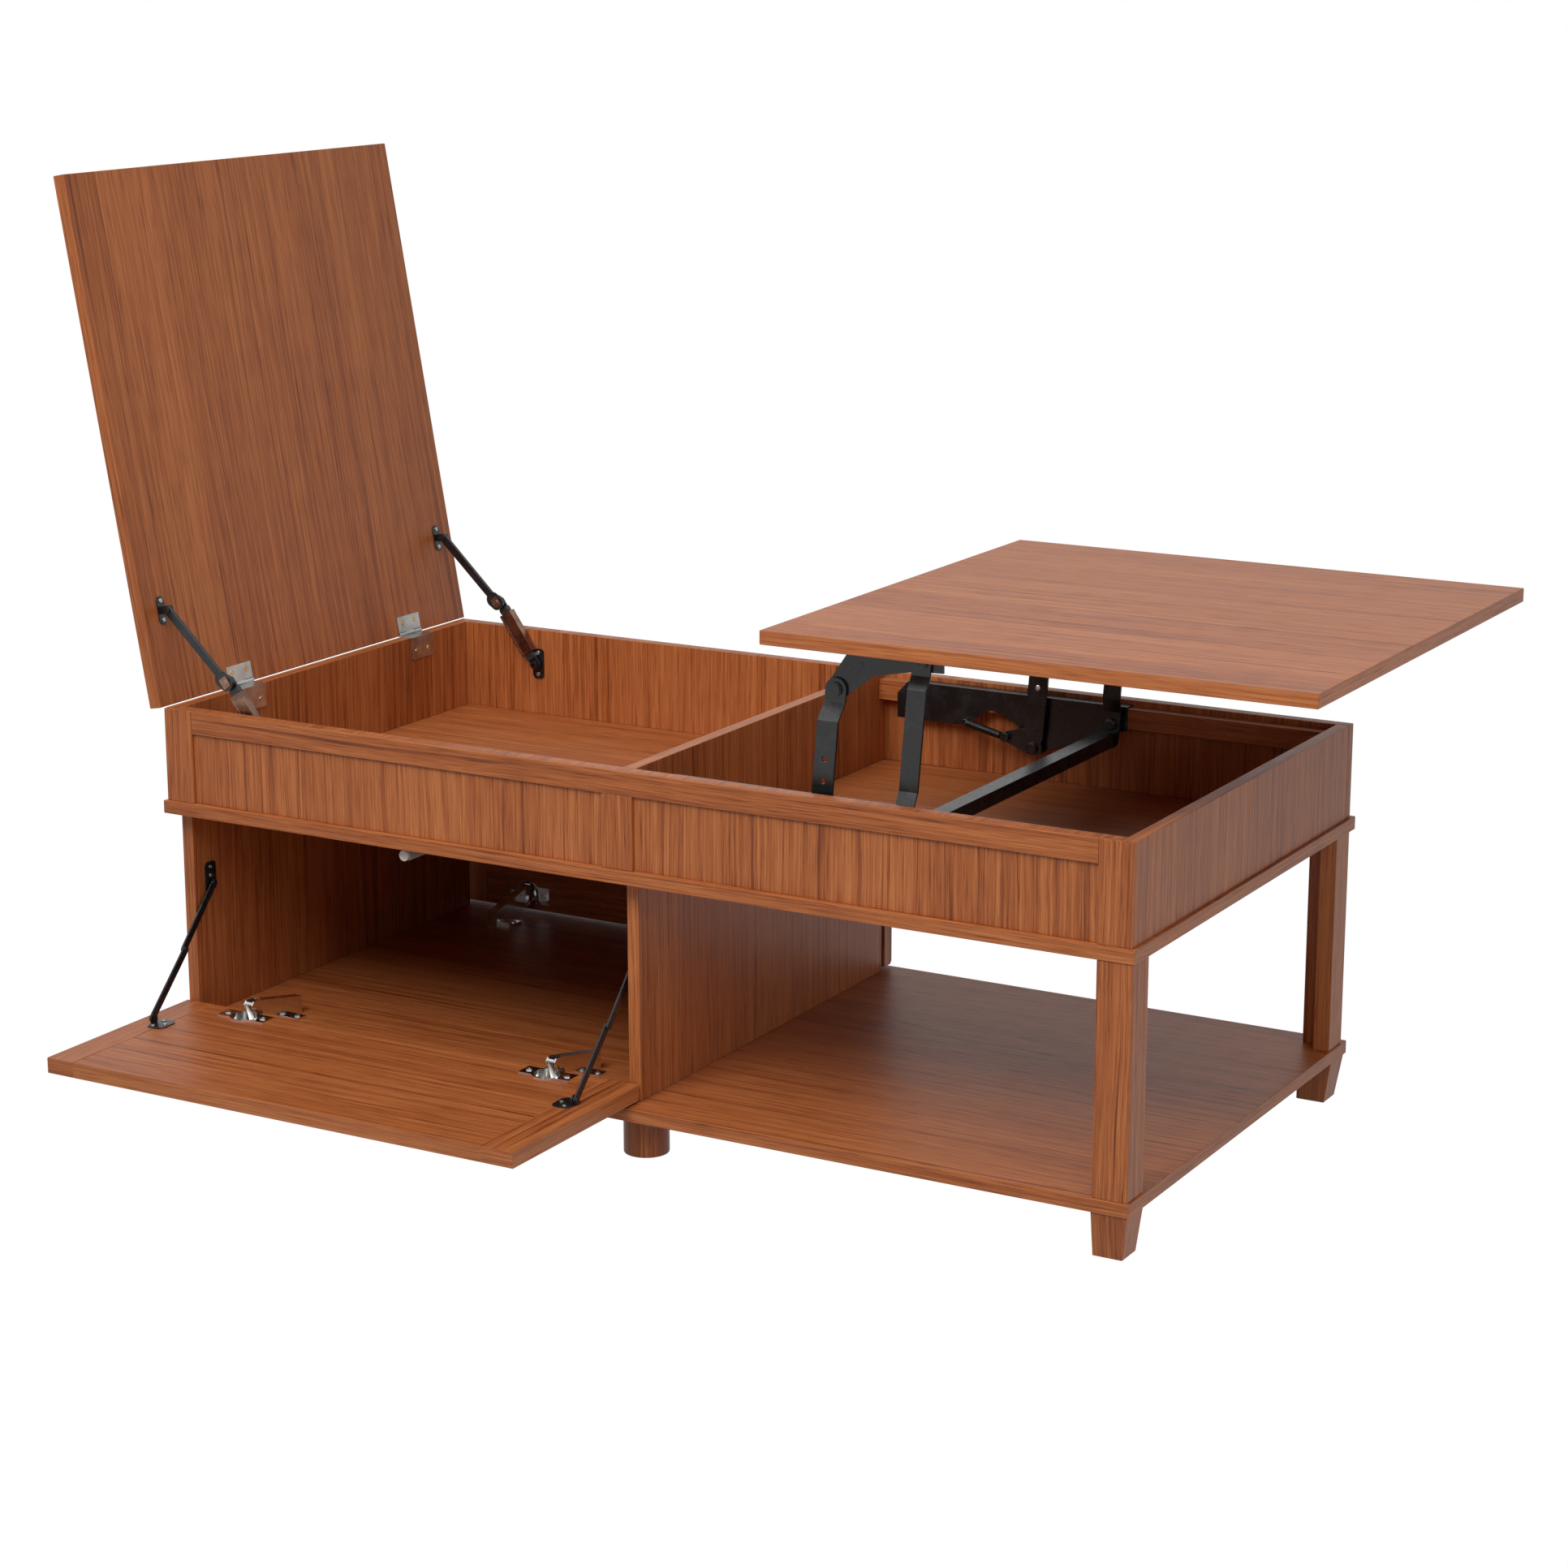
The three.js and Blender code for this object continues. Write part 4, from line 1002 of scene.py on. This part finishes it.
@dataclass
class LidStays:
    """Fittings of the flap's two soft-close stays: lid plates, casings, discs, wall brackets."""

    lid: float = 435.0
    pin_along: float = 105.2
    pin_down: float = 14.5
    elbow: tuple[float, float] = (-523.77, 465.21)
    foot: tuple[float, float] = (-472.0, 390.5)
    casing: tuple[float, float] = (58.0, 17.6)
    apart: float = 538.0

    def build(self) -> None:
        """Makes the fittings of both stays."""
        for side, shift in (("back", 0.0), ("front", -self.apart)):
            self.lid_plate(side, shift)
            self.casing_of(side, shift)
            self.elbow_disc(side, shift)
            self.wall_bracket(side, shift)

    def along_damper(self) -> Matrix:
        """Turn from level to the line from the elbow to the foot."""
        run = Vector(self.foot) - Vector(self.elbow)
        return Matrix.Rotation(-math.atan2(run.y, run.x), 3, "Y")

    def lid_plate(self, side: str, shift: float) -> None:
        """Makes the oval plate, lug and pin under the lid.

        Args:
            side: Name of the side.
            shift: Move along Y.
        """
        x = FLAP.at[0] + self.pin_along
        z = self.lid - self.pin_down
        low, high = (x - 16, 262.5 + shift, self.lid - 1.6), (x + 16, 275.5 + shift, self.lid)
        plate = Bench.plate("plate", low, high, (0, 0, 1), 6.2)
        low, high = (x - 4.6, 267 + shift, z - 4.6), (x + 4.6, 269 + shift, self.lid - 0.4)
        lug = Bench.plate("lug", low, high, (0, 1, 0), 3.8)
        pin = Bench.disc("pin", (x, 260.6 + shift, z), (0, 1, 0), 1.8, 8)
        cap = Bench.disc("cap", (x, 260.2 + shift, z), (0, 1, 0), 4.2, 1.5)
        piece = Bench.joined(f"lid_stay_plate_{side}", [plate, lug, pin, cap])
        Bench.complete(piece, "flap", BLACK_COAT, turn=(FLAP.at, FLAP.turn()))
        spots = [
            FLAP.under(Vector((x + step, 269 + shift, self.lid - 1.5)) - Vector(FLAP.at))
            for step in (-11.0, 11.0)
        ]
        HEADS.drive(f"lid_stay_plate_screws_{side}", "flap", ZINC, spots, 2.6, 1.0)

    def casing_of(self, side: str, shift: float) -> None:
        """Makes the damper's bronze casing and the black collars at its ends.

        Args:
            side: Name of the side.
            shift: Move along Y.
        """
        middle = (Vector(self.foot) + Vector(self.elbow)) / 2
        at = (middle.x, 0.0, middle.y)
        half, rise = self.casing[0] / 2, self.casing[1] / 2
        turn = (at, self.along_damper())
        shell = Bench.block(
            f"lid_stay_casing_{side}",
            (at[0] - half, 266.3 + shift, at[2] - rise),
            (at[0] + half, 276.3 + shift, at[2] + rise),
        )
        Bench.recess(shell, 2.2, 0.2)
        Bench.complete(shell, "flap_stay_dampers", BRONZE, 0.7, segments=3, turn=turn)
        tips = []
        for end, reach in ((-1, 8.0), (1, 9.0)):
            start = at[0] + end * half
            low = (start, 267.6 + shift, at[2] - 6.2)
            high = (start + end * reach, 275.4 + shift, at[2] + 6.2)
            tips.append(Bench.plate("tip", low, high, (0, 1, 0), 2.4))
        collar = Bench.joined(f"lid_stay_collars_{side}", tips)
        Bench.complete(collar, "flap_stay_dampers", BLACK_PLASTIC, 0.4, turn=turn)

    def elbow_disc(self, side: str, shift: float) -> None:
        """Makes the disc, clip and rivet at the elbow.

        Args:
            side: Name of the side.
            shift: Move along Y.
        """
        x, z = self.elbow
        disc = Bench.disc(
            f"lid_stay_disc_{side}", (x - 4, 261.0 + shift, z + 3.6), (0, 1, 0), 9.6, 1.4, 40
        )
        Bench.recess(disc, 1.6, 0.4)
        Bench.complete(disc, "flap_stay_rods", BLACK_COAT)
        low, high = (x - 7, 260.8 + shift, z - 5.5), (x + 6, 261.6 + shift, z + 5.5)
        clip = Bench.plate(f"lid_stay_clip_{side}", low, high, (0, 1, 0), 1.6)
        turn = ((x, 0.0, z), self.along_damper())
        Bench.complete(clip, "flap_stay_rods", BRONZE, turn=turn)
        rivet = [((x, 261.4 + shift, z), (0, -1, 0))]
        name = f"lid_stay_rivet_{side}"
        HEADS.drive(name, "flap_stay_rods", BRONZE, rivet, 3.6, 0.9, False)

    def wall_bracket(self, side: str, shift: float) -> None:
        """Makes the bracket on the wall beside the stay, with its pin and screws.

        Args:
            side: Name of the side.
            shift: Move of the stay along Y.
        """
        x, z = self.foot
        wall, out = (278.0, -1.0) if side == "back" else (-278.0, 1.0)
        low, high = (x - 8, wall, z - 19), (x + 8, wall + out * 1.6, z + 19)
        plate = Bench.plate("plate", low, high, (0, 1, 0), 5.0)
        low, high = sorted((wall, 260.5 + shift if side == "front" else 265.2))
        pin = Bench.disc("pin", (x, low, z), (0, 1, 0), 1.8, high - low)
        face = 265.2 if side == "back" else 276.4 + shift
        cap = Bench.disc("cap", (x, face, z), (0, 1, 0), 5.0, 1.5)
        piece = Bench.joined(f"lid_stay_bracket_{side}", [plate, pin, cap])
        Bench.complete(piece, "frame", BLACK_COAT)
        spots = [((x, wall + out * 1.5, z + step), (0, out, 0)) for step in (-13.5, 13.5)]
        HEADS.drive(f"lid_stay_bracket_screws_{side}", "frame", ZINC, spots, 2.7, 1.0)


@dataclass
class LidHinges:
    """Brass screws in the flap's two hinges."""

    middles: tuple[float, float] = (181.0, -155.0)
    steps: tuple[float, float] = (-12.5, 12.5)

    def build(self) -> None:
        """Sets the screws of both leaves of both hinges."""
        for side, y in zip(("back", "front"), self.middles):
            fixed = [((-579.7, y + step, 415.0), (1, 0, 0)) for step in self.steps]
            HEADS.drive(f"lid_hinge_fixed_screws_{side}", "frame", BRASS, fixed, 3.1, 0.8)
            moving = [FLAP.under(Vector((14.5, y + step, -0.85))) for step in self.steps]
            HEADS.drive(f"lid_hinge_moving_screws_{side}", "flap", BRASS, moving, 3.1, 0.35)


@dataclass
class LiftFittings:
    """Rivets and springs of the lift top's linkage."""

    low: tuple[tuple[float, float], tuple[float, float]] = ((223.2, 369.3), (321.5, 408.3))
    high: tuple[tuple[float, float], tuple[float, float]] = ((236.5, 535.13), (334.8, 574.13))
    hook: tuple[float, float] = (190.2, 379.3)
    anchor: tuple[float, float] = (136.0, 392.0)
    spring_y: float = 247.4
    coil: float = 3.85
    wire: float = 0.80
    pitch: float = 1.72
    steps: int = 14
    eye: float = 2.6
    end_room: float = 5.5
    rib_slope: float = -42.0

    def build(self) -> None:
        """Makes the rivets and springs of both sides."""
        for side, sign in (("back", 1.0), ("front", -1.0)):
            inward = (0.0, -sign, 0.0)
            low = [((x, sign * 249.6, z), inward) for x, z in self.low]
            high = [((x, sign * 236.6, z), inward) for x, z in self.high]
            HEADS.drive(f"lift_low_rivets_{side}", "frame", BLACK_COAT, low, 6.4, 1.7, False)
            HEADS.drive(f"lift_high_rivets_{side}", "lift_table", BLACK_COAT, high, 6.4, 1.7, False)
            outer = [((x, sign * 244.3, z), (0.0, sign, 0.0)) for x, z in self.high]
            name = f"lift_outer_rivets_{side}"
            HEADS.drive(name, "lift_table", BLACK_COAT, outer, 6.4, 1.2, False)
            x, z = self.hook
            bolt = [((x, sign * 247.2, z), inward)]
            HEADS.drive(f"lift_hook_bolt_{side}", "lift_main_arms", BLACK_COAT, bolt, 5.4, 1.8)
            self.post(side, sign)
            self.rib(side, sign)
            self.spring(side, sign)

    def rib(self, side: str, sign: float) -> None:
        """Makes the pressed rib of the top bracket; the sign is the side's, along Y."""
        x, z = self.high[0][0] + 21.0, self.high[0][1] + 21.0
        low, high = (x - 12, sign * 235.9, z - 3), (x + 12, sign * 239.0, z + 3)
        rib = Bench.plate(f"lift_bracket_rib_{side}", low, high, (0, 1, 0), 2.9)
        turn = ((x, 0.0, z), Matrix.Rotation(math.radians(self.rib_slope), 3, "Y"))
        Bench.complete(rib, "lift_table", BLACK_COAT, 0.5, turn=turn)

    def post(self, side: str, sign: float) -> None:
        """Makes the post on the base plate that the spring hangs on."""
        x, z = self.anchor
        wall, inward = 261.0, (0, -sign, 0)
        post = Bench.disc(
            "post", (x, sign * wall, z), inward, 1.7, wall - self.spring_y + 2.2, 16
        )
        collar = Bench.disc("collar", (x, sign * (self.spring_y - 1.4), z), inward, 2.6, 1.0, 16)
        piece = Bench.joined(f"lift_spring_post_{side}", [post, collar])
        Bench.complete(piece, "frame", BLACK_COAT, 0.2)

    def spring(self, side: str, sign: float) -> None:
        """Winds the spring between the post and the arm's hook.

        Args:
            side: Name of the side.
            sign: Direction of the side along Y.
        """
        start = Vector((self.anchor[0], sign * self.spring_y, self.anchor[1]))
        end = Vector((self.hook[0], sign * self.spring_y, self.hook[1]))
        run = end - start
        body = run.length - 2 * self.end_room
        turns = round(body / self.pitch)
        Bench.clear()
        bpy.ops.mesh.primitive_circle_add(
            vertices=7,
            radius=self.wire * MM,
            fill_type="NOTHING",
            location=(self.coil * MM, 0, 0),
            rotation=(math.pi / 2, 0, 0),
        )
        wire = Bench.settle(bpy.context.object)
        Bench.modify(
            wire,
            "SCREW",
            axis="Z",
            angle=math.radians(360),
            screw_offset=body / turns * MM,
            iterations=turns,
            steps=self.steps,
            render_steps=self.steps,
            use_merge_vertices=True,
        )
        loops = []
        for height in (-self.eye, body + self.eye):
            Bench.clear()
            bpy.ops.mesh.primitive_torus_add(
                major_segments=20,
                minor_segments=7,
                major_radius=self.eye * MM,
                minor_radius=self.wire * MM,
                location=(0, 0, height * MM),
                rotation=(math.pi / 2, 0, 0),
            )
            loops.append(Bench.settle(bpy.context.object))
        piece = Bench.joined(f"lift_spring_{side}", [wire, *loops])
        facing = run.normalized().to_track_quat("Z", "X").to_matrix().to_4x4()
        foot = (start + run.normalized() * self.end_room) * MM
        piece.matrix_world = Matrix.Translation(foot) @ facing
        Bench.settle(piece)
        with Bench.editing(piece):
            bpy.ops.mesh.fill_holes(sides=8)
            bpy.ops.mesh.normals_make_consistent(inside=False)
        Bench.smooth(piece, 60.0)
        piece.data.materials.append(SPRING_STEEL.material())
        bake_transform(piece)
        log.info("%s: %d turns", piece.name, turns)


@dataclass
class DoorStays:
    """Brackets and plates that the front door's two folding stays turn on."""

    side_face: dict[str, float] = field(default_factory=lambda: {"left": -581.0, "right": 2.5})
    top: tuple[float, float] = (-246.0, 219.0)
    elbow: tuple[float, float] = (-304.27, 154.39)
    low: tuple[float, float] = (-367.0, 90.0)
    door_face: float = 84.0

    def build(self) -> None:
        """Makes the fittings of both stays."""
        for side, face in self.side_face.items():
            out = 1.0 if side == "left" else -1.0
            self.bracket(side, face, out)
            self.foot_plate(side, face, out)
            y, z = self.elbow
            spot = [((face + out * 8.3, y, z), (out, 0, 0))]
            name = f"door_stay_rivet_{side}"
            HEADS.drive(name, "stay_lower_links", BLACK_COAT, spot, 3.4, 1.0, False)

    def bracket(self, side: str, face: float, out: float) -> None:
        """Makes the bracket on the cabinet's side.

        Args:
            side: Name of the side.
            face: Place of the cabinet side's inner face.
            out: Direction away from it along X.
        """
        y, z = self.top
        low, high = (face, y - 10, z - 9), (face + out * 1.6, y + 9, z + 25)
        plate = Bench.plate("plate", low, high, (1, 0, 0), 5.0)
        pin = Bench.disc("pin", (face, y, z), (out, 0, 0), 1.7, 6.4, 16)
        cap = Bench.disc("cap", (face + out * 6.1, y, z), (out, 0, 0), 3.6, 1.2)
        piece = Bench.joined(f"door_stay_bracket_{side}", [plate, pin, cap])
        Bench.complete(piece, "frame", BLACK_COAT)
        spots = [((face + out * 1.5, y - 1, z + step), (out, 0, 0)) for step in (9.0, 19.0)]
        HEADS.drive(f"door_stay_bracket_screws_{side}", "frame", ZINC, spots, 2.5, 0.9)

    def foot_plate(self, side: str, face: float, out: float) -> None:
        """Makes the plate on the door with the lug and pin that the stay turns on.

        Args:
            side: Name of the side.
            face: Place of the cabinet side's inner face.
            out: Direction away from it along X.
        """
        y, z = self.low
        start = face + out * 8.7
        low = (start, y - 15, self.door_face)
        high = (start + out * 22.0, y + 15, self.door_face + 1.5)
        plate = Bench.plate("plate", low, high, (0, 0, 1), 7.0)
        low = (start, y - 6, self.door_face + 0.3)
        high = (start + out * 1.6, y + 6, z + 5.5)
        lug = Bench.plate("lug", low, high, (1, 0, 0), 4.5)
        pin = Bench.disc("pin", (face + out * 6.1, y, z), (out, 0, 0), 1.6, 3.4, 16)
        cap = Bench.disc("cap", (face + out * 5.2, y, z), (out, 0, 0), 3.4, 1.0)
        piece = Bench.joined(f"door_stay_plate_{side}", [plate, lug, pin, cap])
        Bench.complete(piece, "front_door", BLACK_COAT)
        spots = [
            ((start + out * across, y + step, self.door_face + 1.4), (0, 0, 1))
            for across, step in ((7.0, -9.5), (7.0, 9.5), (16.5, 0.0))
        ]
        HEADS.drive(f"door_stay_plate_screws_{side}", "front_door", ZINC, spots, 2.5, 0.9)


@dataclass
class CupHinges:
    """Screws of the cup hinges and the cups of the back door, which mirror the front ones."""

    middles: tuple[float, float] = (-496.5, -86.0)
    cup_y: float = -296.5
    cup_screws: tuple[float, float] = (-24.5, 24.5)
    flange_z: float = 85.45
    base_y: float = 222.5
    base_z: float = 66.95
    base_screws: tuple[float, float] = (-16.5, 16.5)
    fold_y: float = 366.0
    fold_z: float = -210.0

    def build(self) -> None:
        """Makes the back cups and the screws of all four hinges."""
        fold = Matrix(((1, 0, 0), (0, 0, -1), (0, -1, 0))).to_4x4()
        fold = Matrix.Translation((0, self.fold_y * MM, self.fold_z * MM)) @ fold
        for side, x in zip(("left", "right"), self.middles):
            cup = Bench.copy_of(f"door_hinge_cup_front_{side}", f"door_hinge_cup_back_{side}")
            cup.matrix_world = fold
            Bench.settle(cup)
            with Bench.editing(cup):
                bpy.ops.mesh.normals_make_consistent(inside=False)
            Bench.complete(cup, "back_door", NICKEL, angle=50.0)
            feet = [(x + step, self.cup_y, self.flange_z) for step in self.cup_screws]
            front = [(foot, (0, 0, 1)) for foot in feet]
            back = [
                ((foot[0], self.fold_y - foot[2], self.fold_z - foot[1]), (0, -1, 0))
                for foot in feet
            ]
            self.screws(f"cup_screws_front_{side}", "front_door", front)
            self.screws(f"cup_screws_back_{side}", "back_door", back)
            for face, sign in (("front", -1.0), ("back", 1.0)):
                wings = [
                    ((x + step, sign * self.base_y, self.base_z), (0, 0, 1))
                    for step in self.base_screws
                ]
                self.screws(f"hinge_base_screws_{face}_{side}", "frame", wings)

    @staticmethod
    def screws(name: str, body: str, spots: Spots) -> None:
        """Sets hinge screws in their places."""
        HEADS.drive(name, body, ZINC, spots, 3.7, 1.2)


# ---- Studio


@dataclass
class Studio:
    """White studio: camera, pale floor, a large light above, a key and two weak lights."""

    eye: tuple[float, float, float] = (1.9193, -3.3084, 1.3098)
    turn: tuple[float, float, float] = (75.965, 0.0, 29.619)
    lens: float = 80.717
    sensor: float = 36.0
    key_power: float = 44.0
    side_power: float = 8.5
    back_power: float = 14.0
    overhead_power: float = 50.0
    around: float = 0.13
    shine: float = 0.78

    def build(self) -> None:
        """Makes the whole studio."""
        self.camera()
        self.floor()
        self.world()
        self.lamp("overhead", (0.6, -1.5, 2.6), (0.1, -0.1, 0.3), 2.8, self.overhead_power)
        back = self.lamp("back", (-1.6, 3.2, 1.8), (0.0, 0.0, 0.4), 1.6, self.back_power)
        back.visible_glossy = False
        self.lamp("key", (-0.4, -2.5, 2.7), (0.0, -0.1, 0.3), 1.3, self.key_power)
        self.lamp("side", (2.6, -1.0, 0.6), (0.6, 0.0, 0.25), 0.9, self.side_power)
        bpy.context.scene.view_settings.view_transform = "Standard"
        bpy.context.scene.view_settings.look = "None"

    def camera(self) -> None:
        """Places the camera."""
        data = bpy.data.cameras.new("camera")
        data.lens = self.lens
        data.sensor_width = self.sensor
        data.dof.use_dof = False
        camera = bpy.data.objects.new("camera", data)
        camera.location = self.eye
        camera.rotation_euler = [math.radians(angle) for angle in self.turn]
        bpy.context.scene.collection.objects.link(camera)
        bpy.context.scene.camera = camera

    def floor(self) -> None:
        """Lays the floor, which is white to the camera and pale to the light."""
        Bench.clear()
        bpy.ops.mesh.primitive_plane_add(size=60.0, location=(0.0, 0.0, -0.0005))
        floor = bpy.context.object
        floor.name = "floor"
        tree = ShaderTree("pale_floor")
        direct = tree.node("ShaderNodeLightPath", None, None, "Is Camera Ray")
        mirrored = tree.node("ShaderNodeLightPath", None, None, "Is Glossy Ray")
        seen = direct + mirrored * self.shine
        white = tree.node("ShaderNodeEmission", None, {0: (1.0, 1.0, 1.0, 1.0), 1: 1.0})
        pale = tree.node("ShaderNodeBsdfDiffuse", None, {0: (0.45, 0.45, 0.45, 1.0)})
        shown = tree.node("ShaderNodeMixShader", None, {0: seen, 1: pale, 2: white})
        end = tree.nodes.new("ShaderNodeOutputMaterial")
        tree.links.new(shown.socket, end.inputs[0])
        floor.data.materials.append(tree.material)

    def world(self) -> None:
        """Surrounds the table with white: full for the eye, softer for diffuse light."""
        world = bpy.data.worlds.new("studio")
        world.use_nodes = True
        nodes, links = world.node_tree.nodes, world.node_tree.links
        nodes.clear()
        path = nodes.new("ShaderNodeLightPath")
        steps = []
        for strength in (self.around, self.shine, 1.0):
            light = nodes.new("ShaderNodeBackground")
            light.inputs[0].default_value = (1.0, 1.0, 1.0, 1.0)
            light.inputs[1].default_value = strength
            steps.append(light)
        shown = steps[0]
        for ray, light in (("Is Glossy Ray", steps[1]), ("Is Camera Ray", steps[2])):
            mix = nodes.new("ShaderNodeMixShader")
            links.new(path.outputs[ray], mix.inputs[0])
            links.new(shown.outputs[0], mix.inputs[1])
            links.new(light.outputs[0], mix.inputs[2])
            shown = mix
        end = nodes.new("ShaderNodeOutputWorld")
        links.new(shown.outputs[0], end.inputs[0])
        bpy.context.scene.world = world

    def lamp(
        self,
        name: str,
        at: tuple[float, float, float],
        towards: tuple[float, float, float],
        size: float,
        power: float,
    ) -> Piece:
        """Adds a square soft light.

        Args:
            name: The light's name.
            at: Its place.
            towards: The point that it faces.
            size: Side length.
            power: Power in watts.

        Returns:
            The light.
        """
        data = bpy.data.lights.new(name, "AREA")
        data.shape = "SQUARE"
        data.size = size
        data.energy = power
        lamp = bpy.data.objects.new(name, data)
        lamp.location = at
        lamp.rotation_euler = (Vector(towards) - Vector(at)).to_track_quat("-Z", "Y").to_euler()
        bpy.context.scene.collection.objects.link(lamp)
        return lamp


def main() -> None:
    """Builds the table's look, then the studio."""
    logging.basicConfig(level=logging.INFO, format="%(message)s")
    for part in (
        Boards(),
        FaceFrame(),
        Doors(),
        Hardware(),
        LidStays(),
        LidHinges(),
        LiftFittings(),
        DoorStays(),
        CupHinges(),
    ):
        part.build()
    HEADS.put_away()
    Studio().build()
    Bench.clear()


if __name__ == "__main__":
    main()
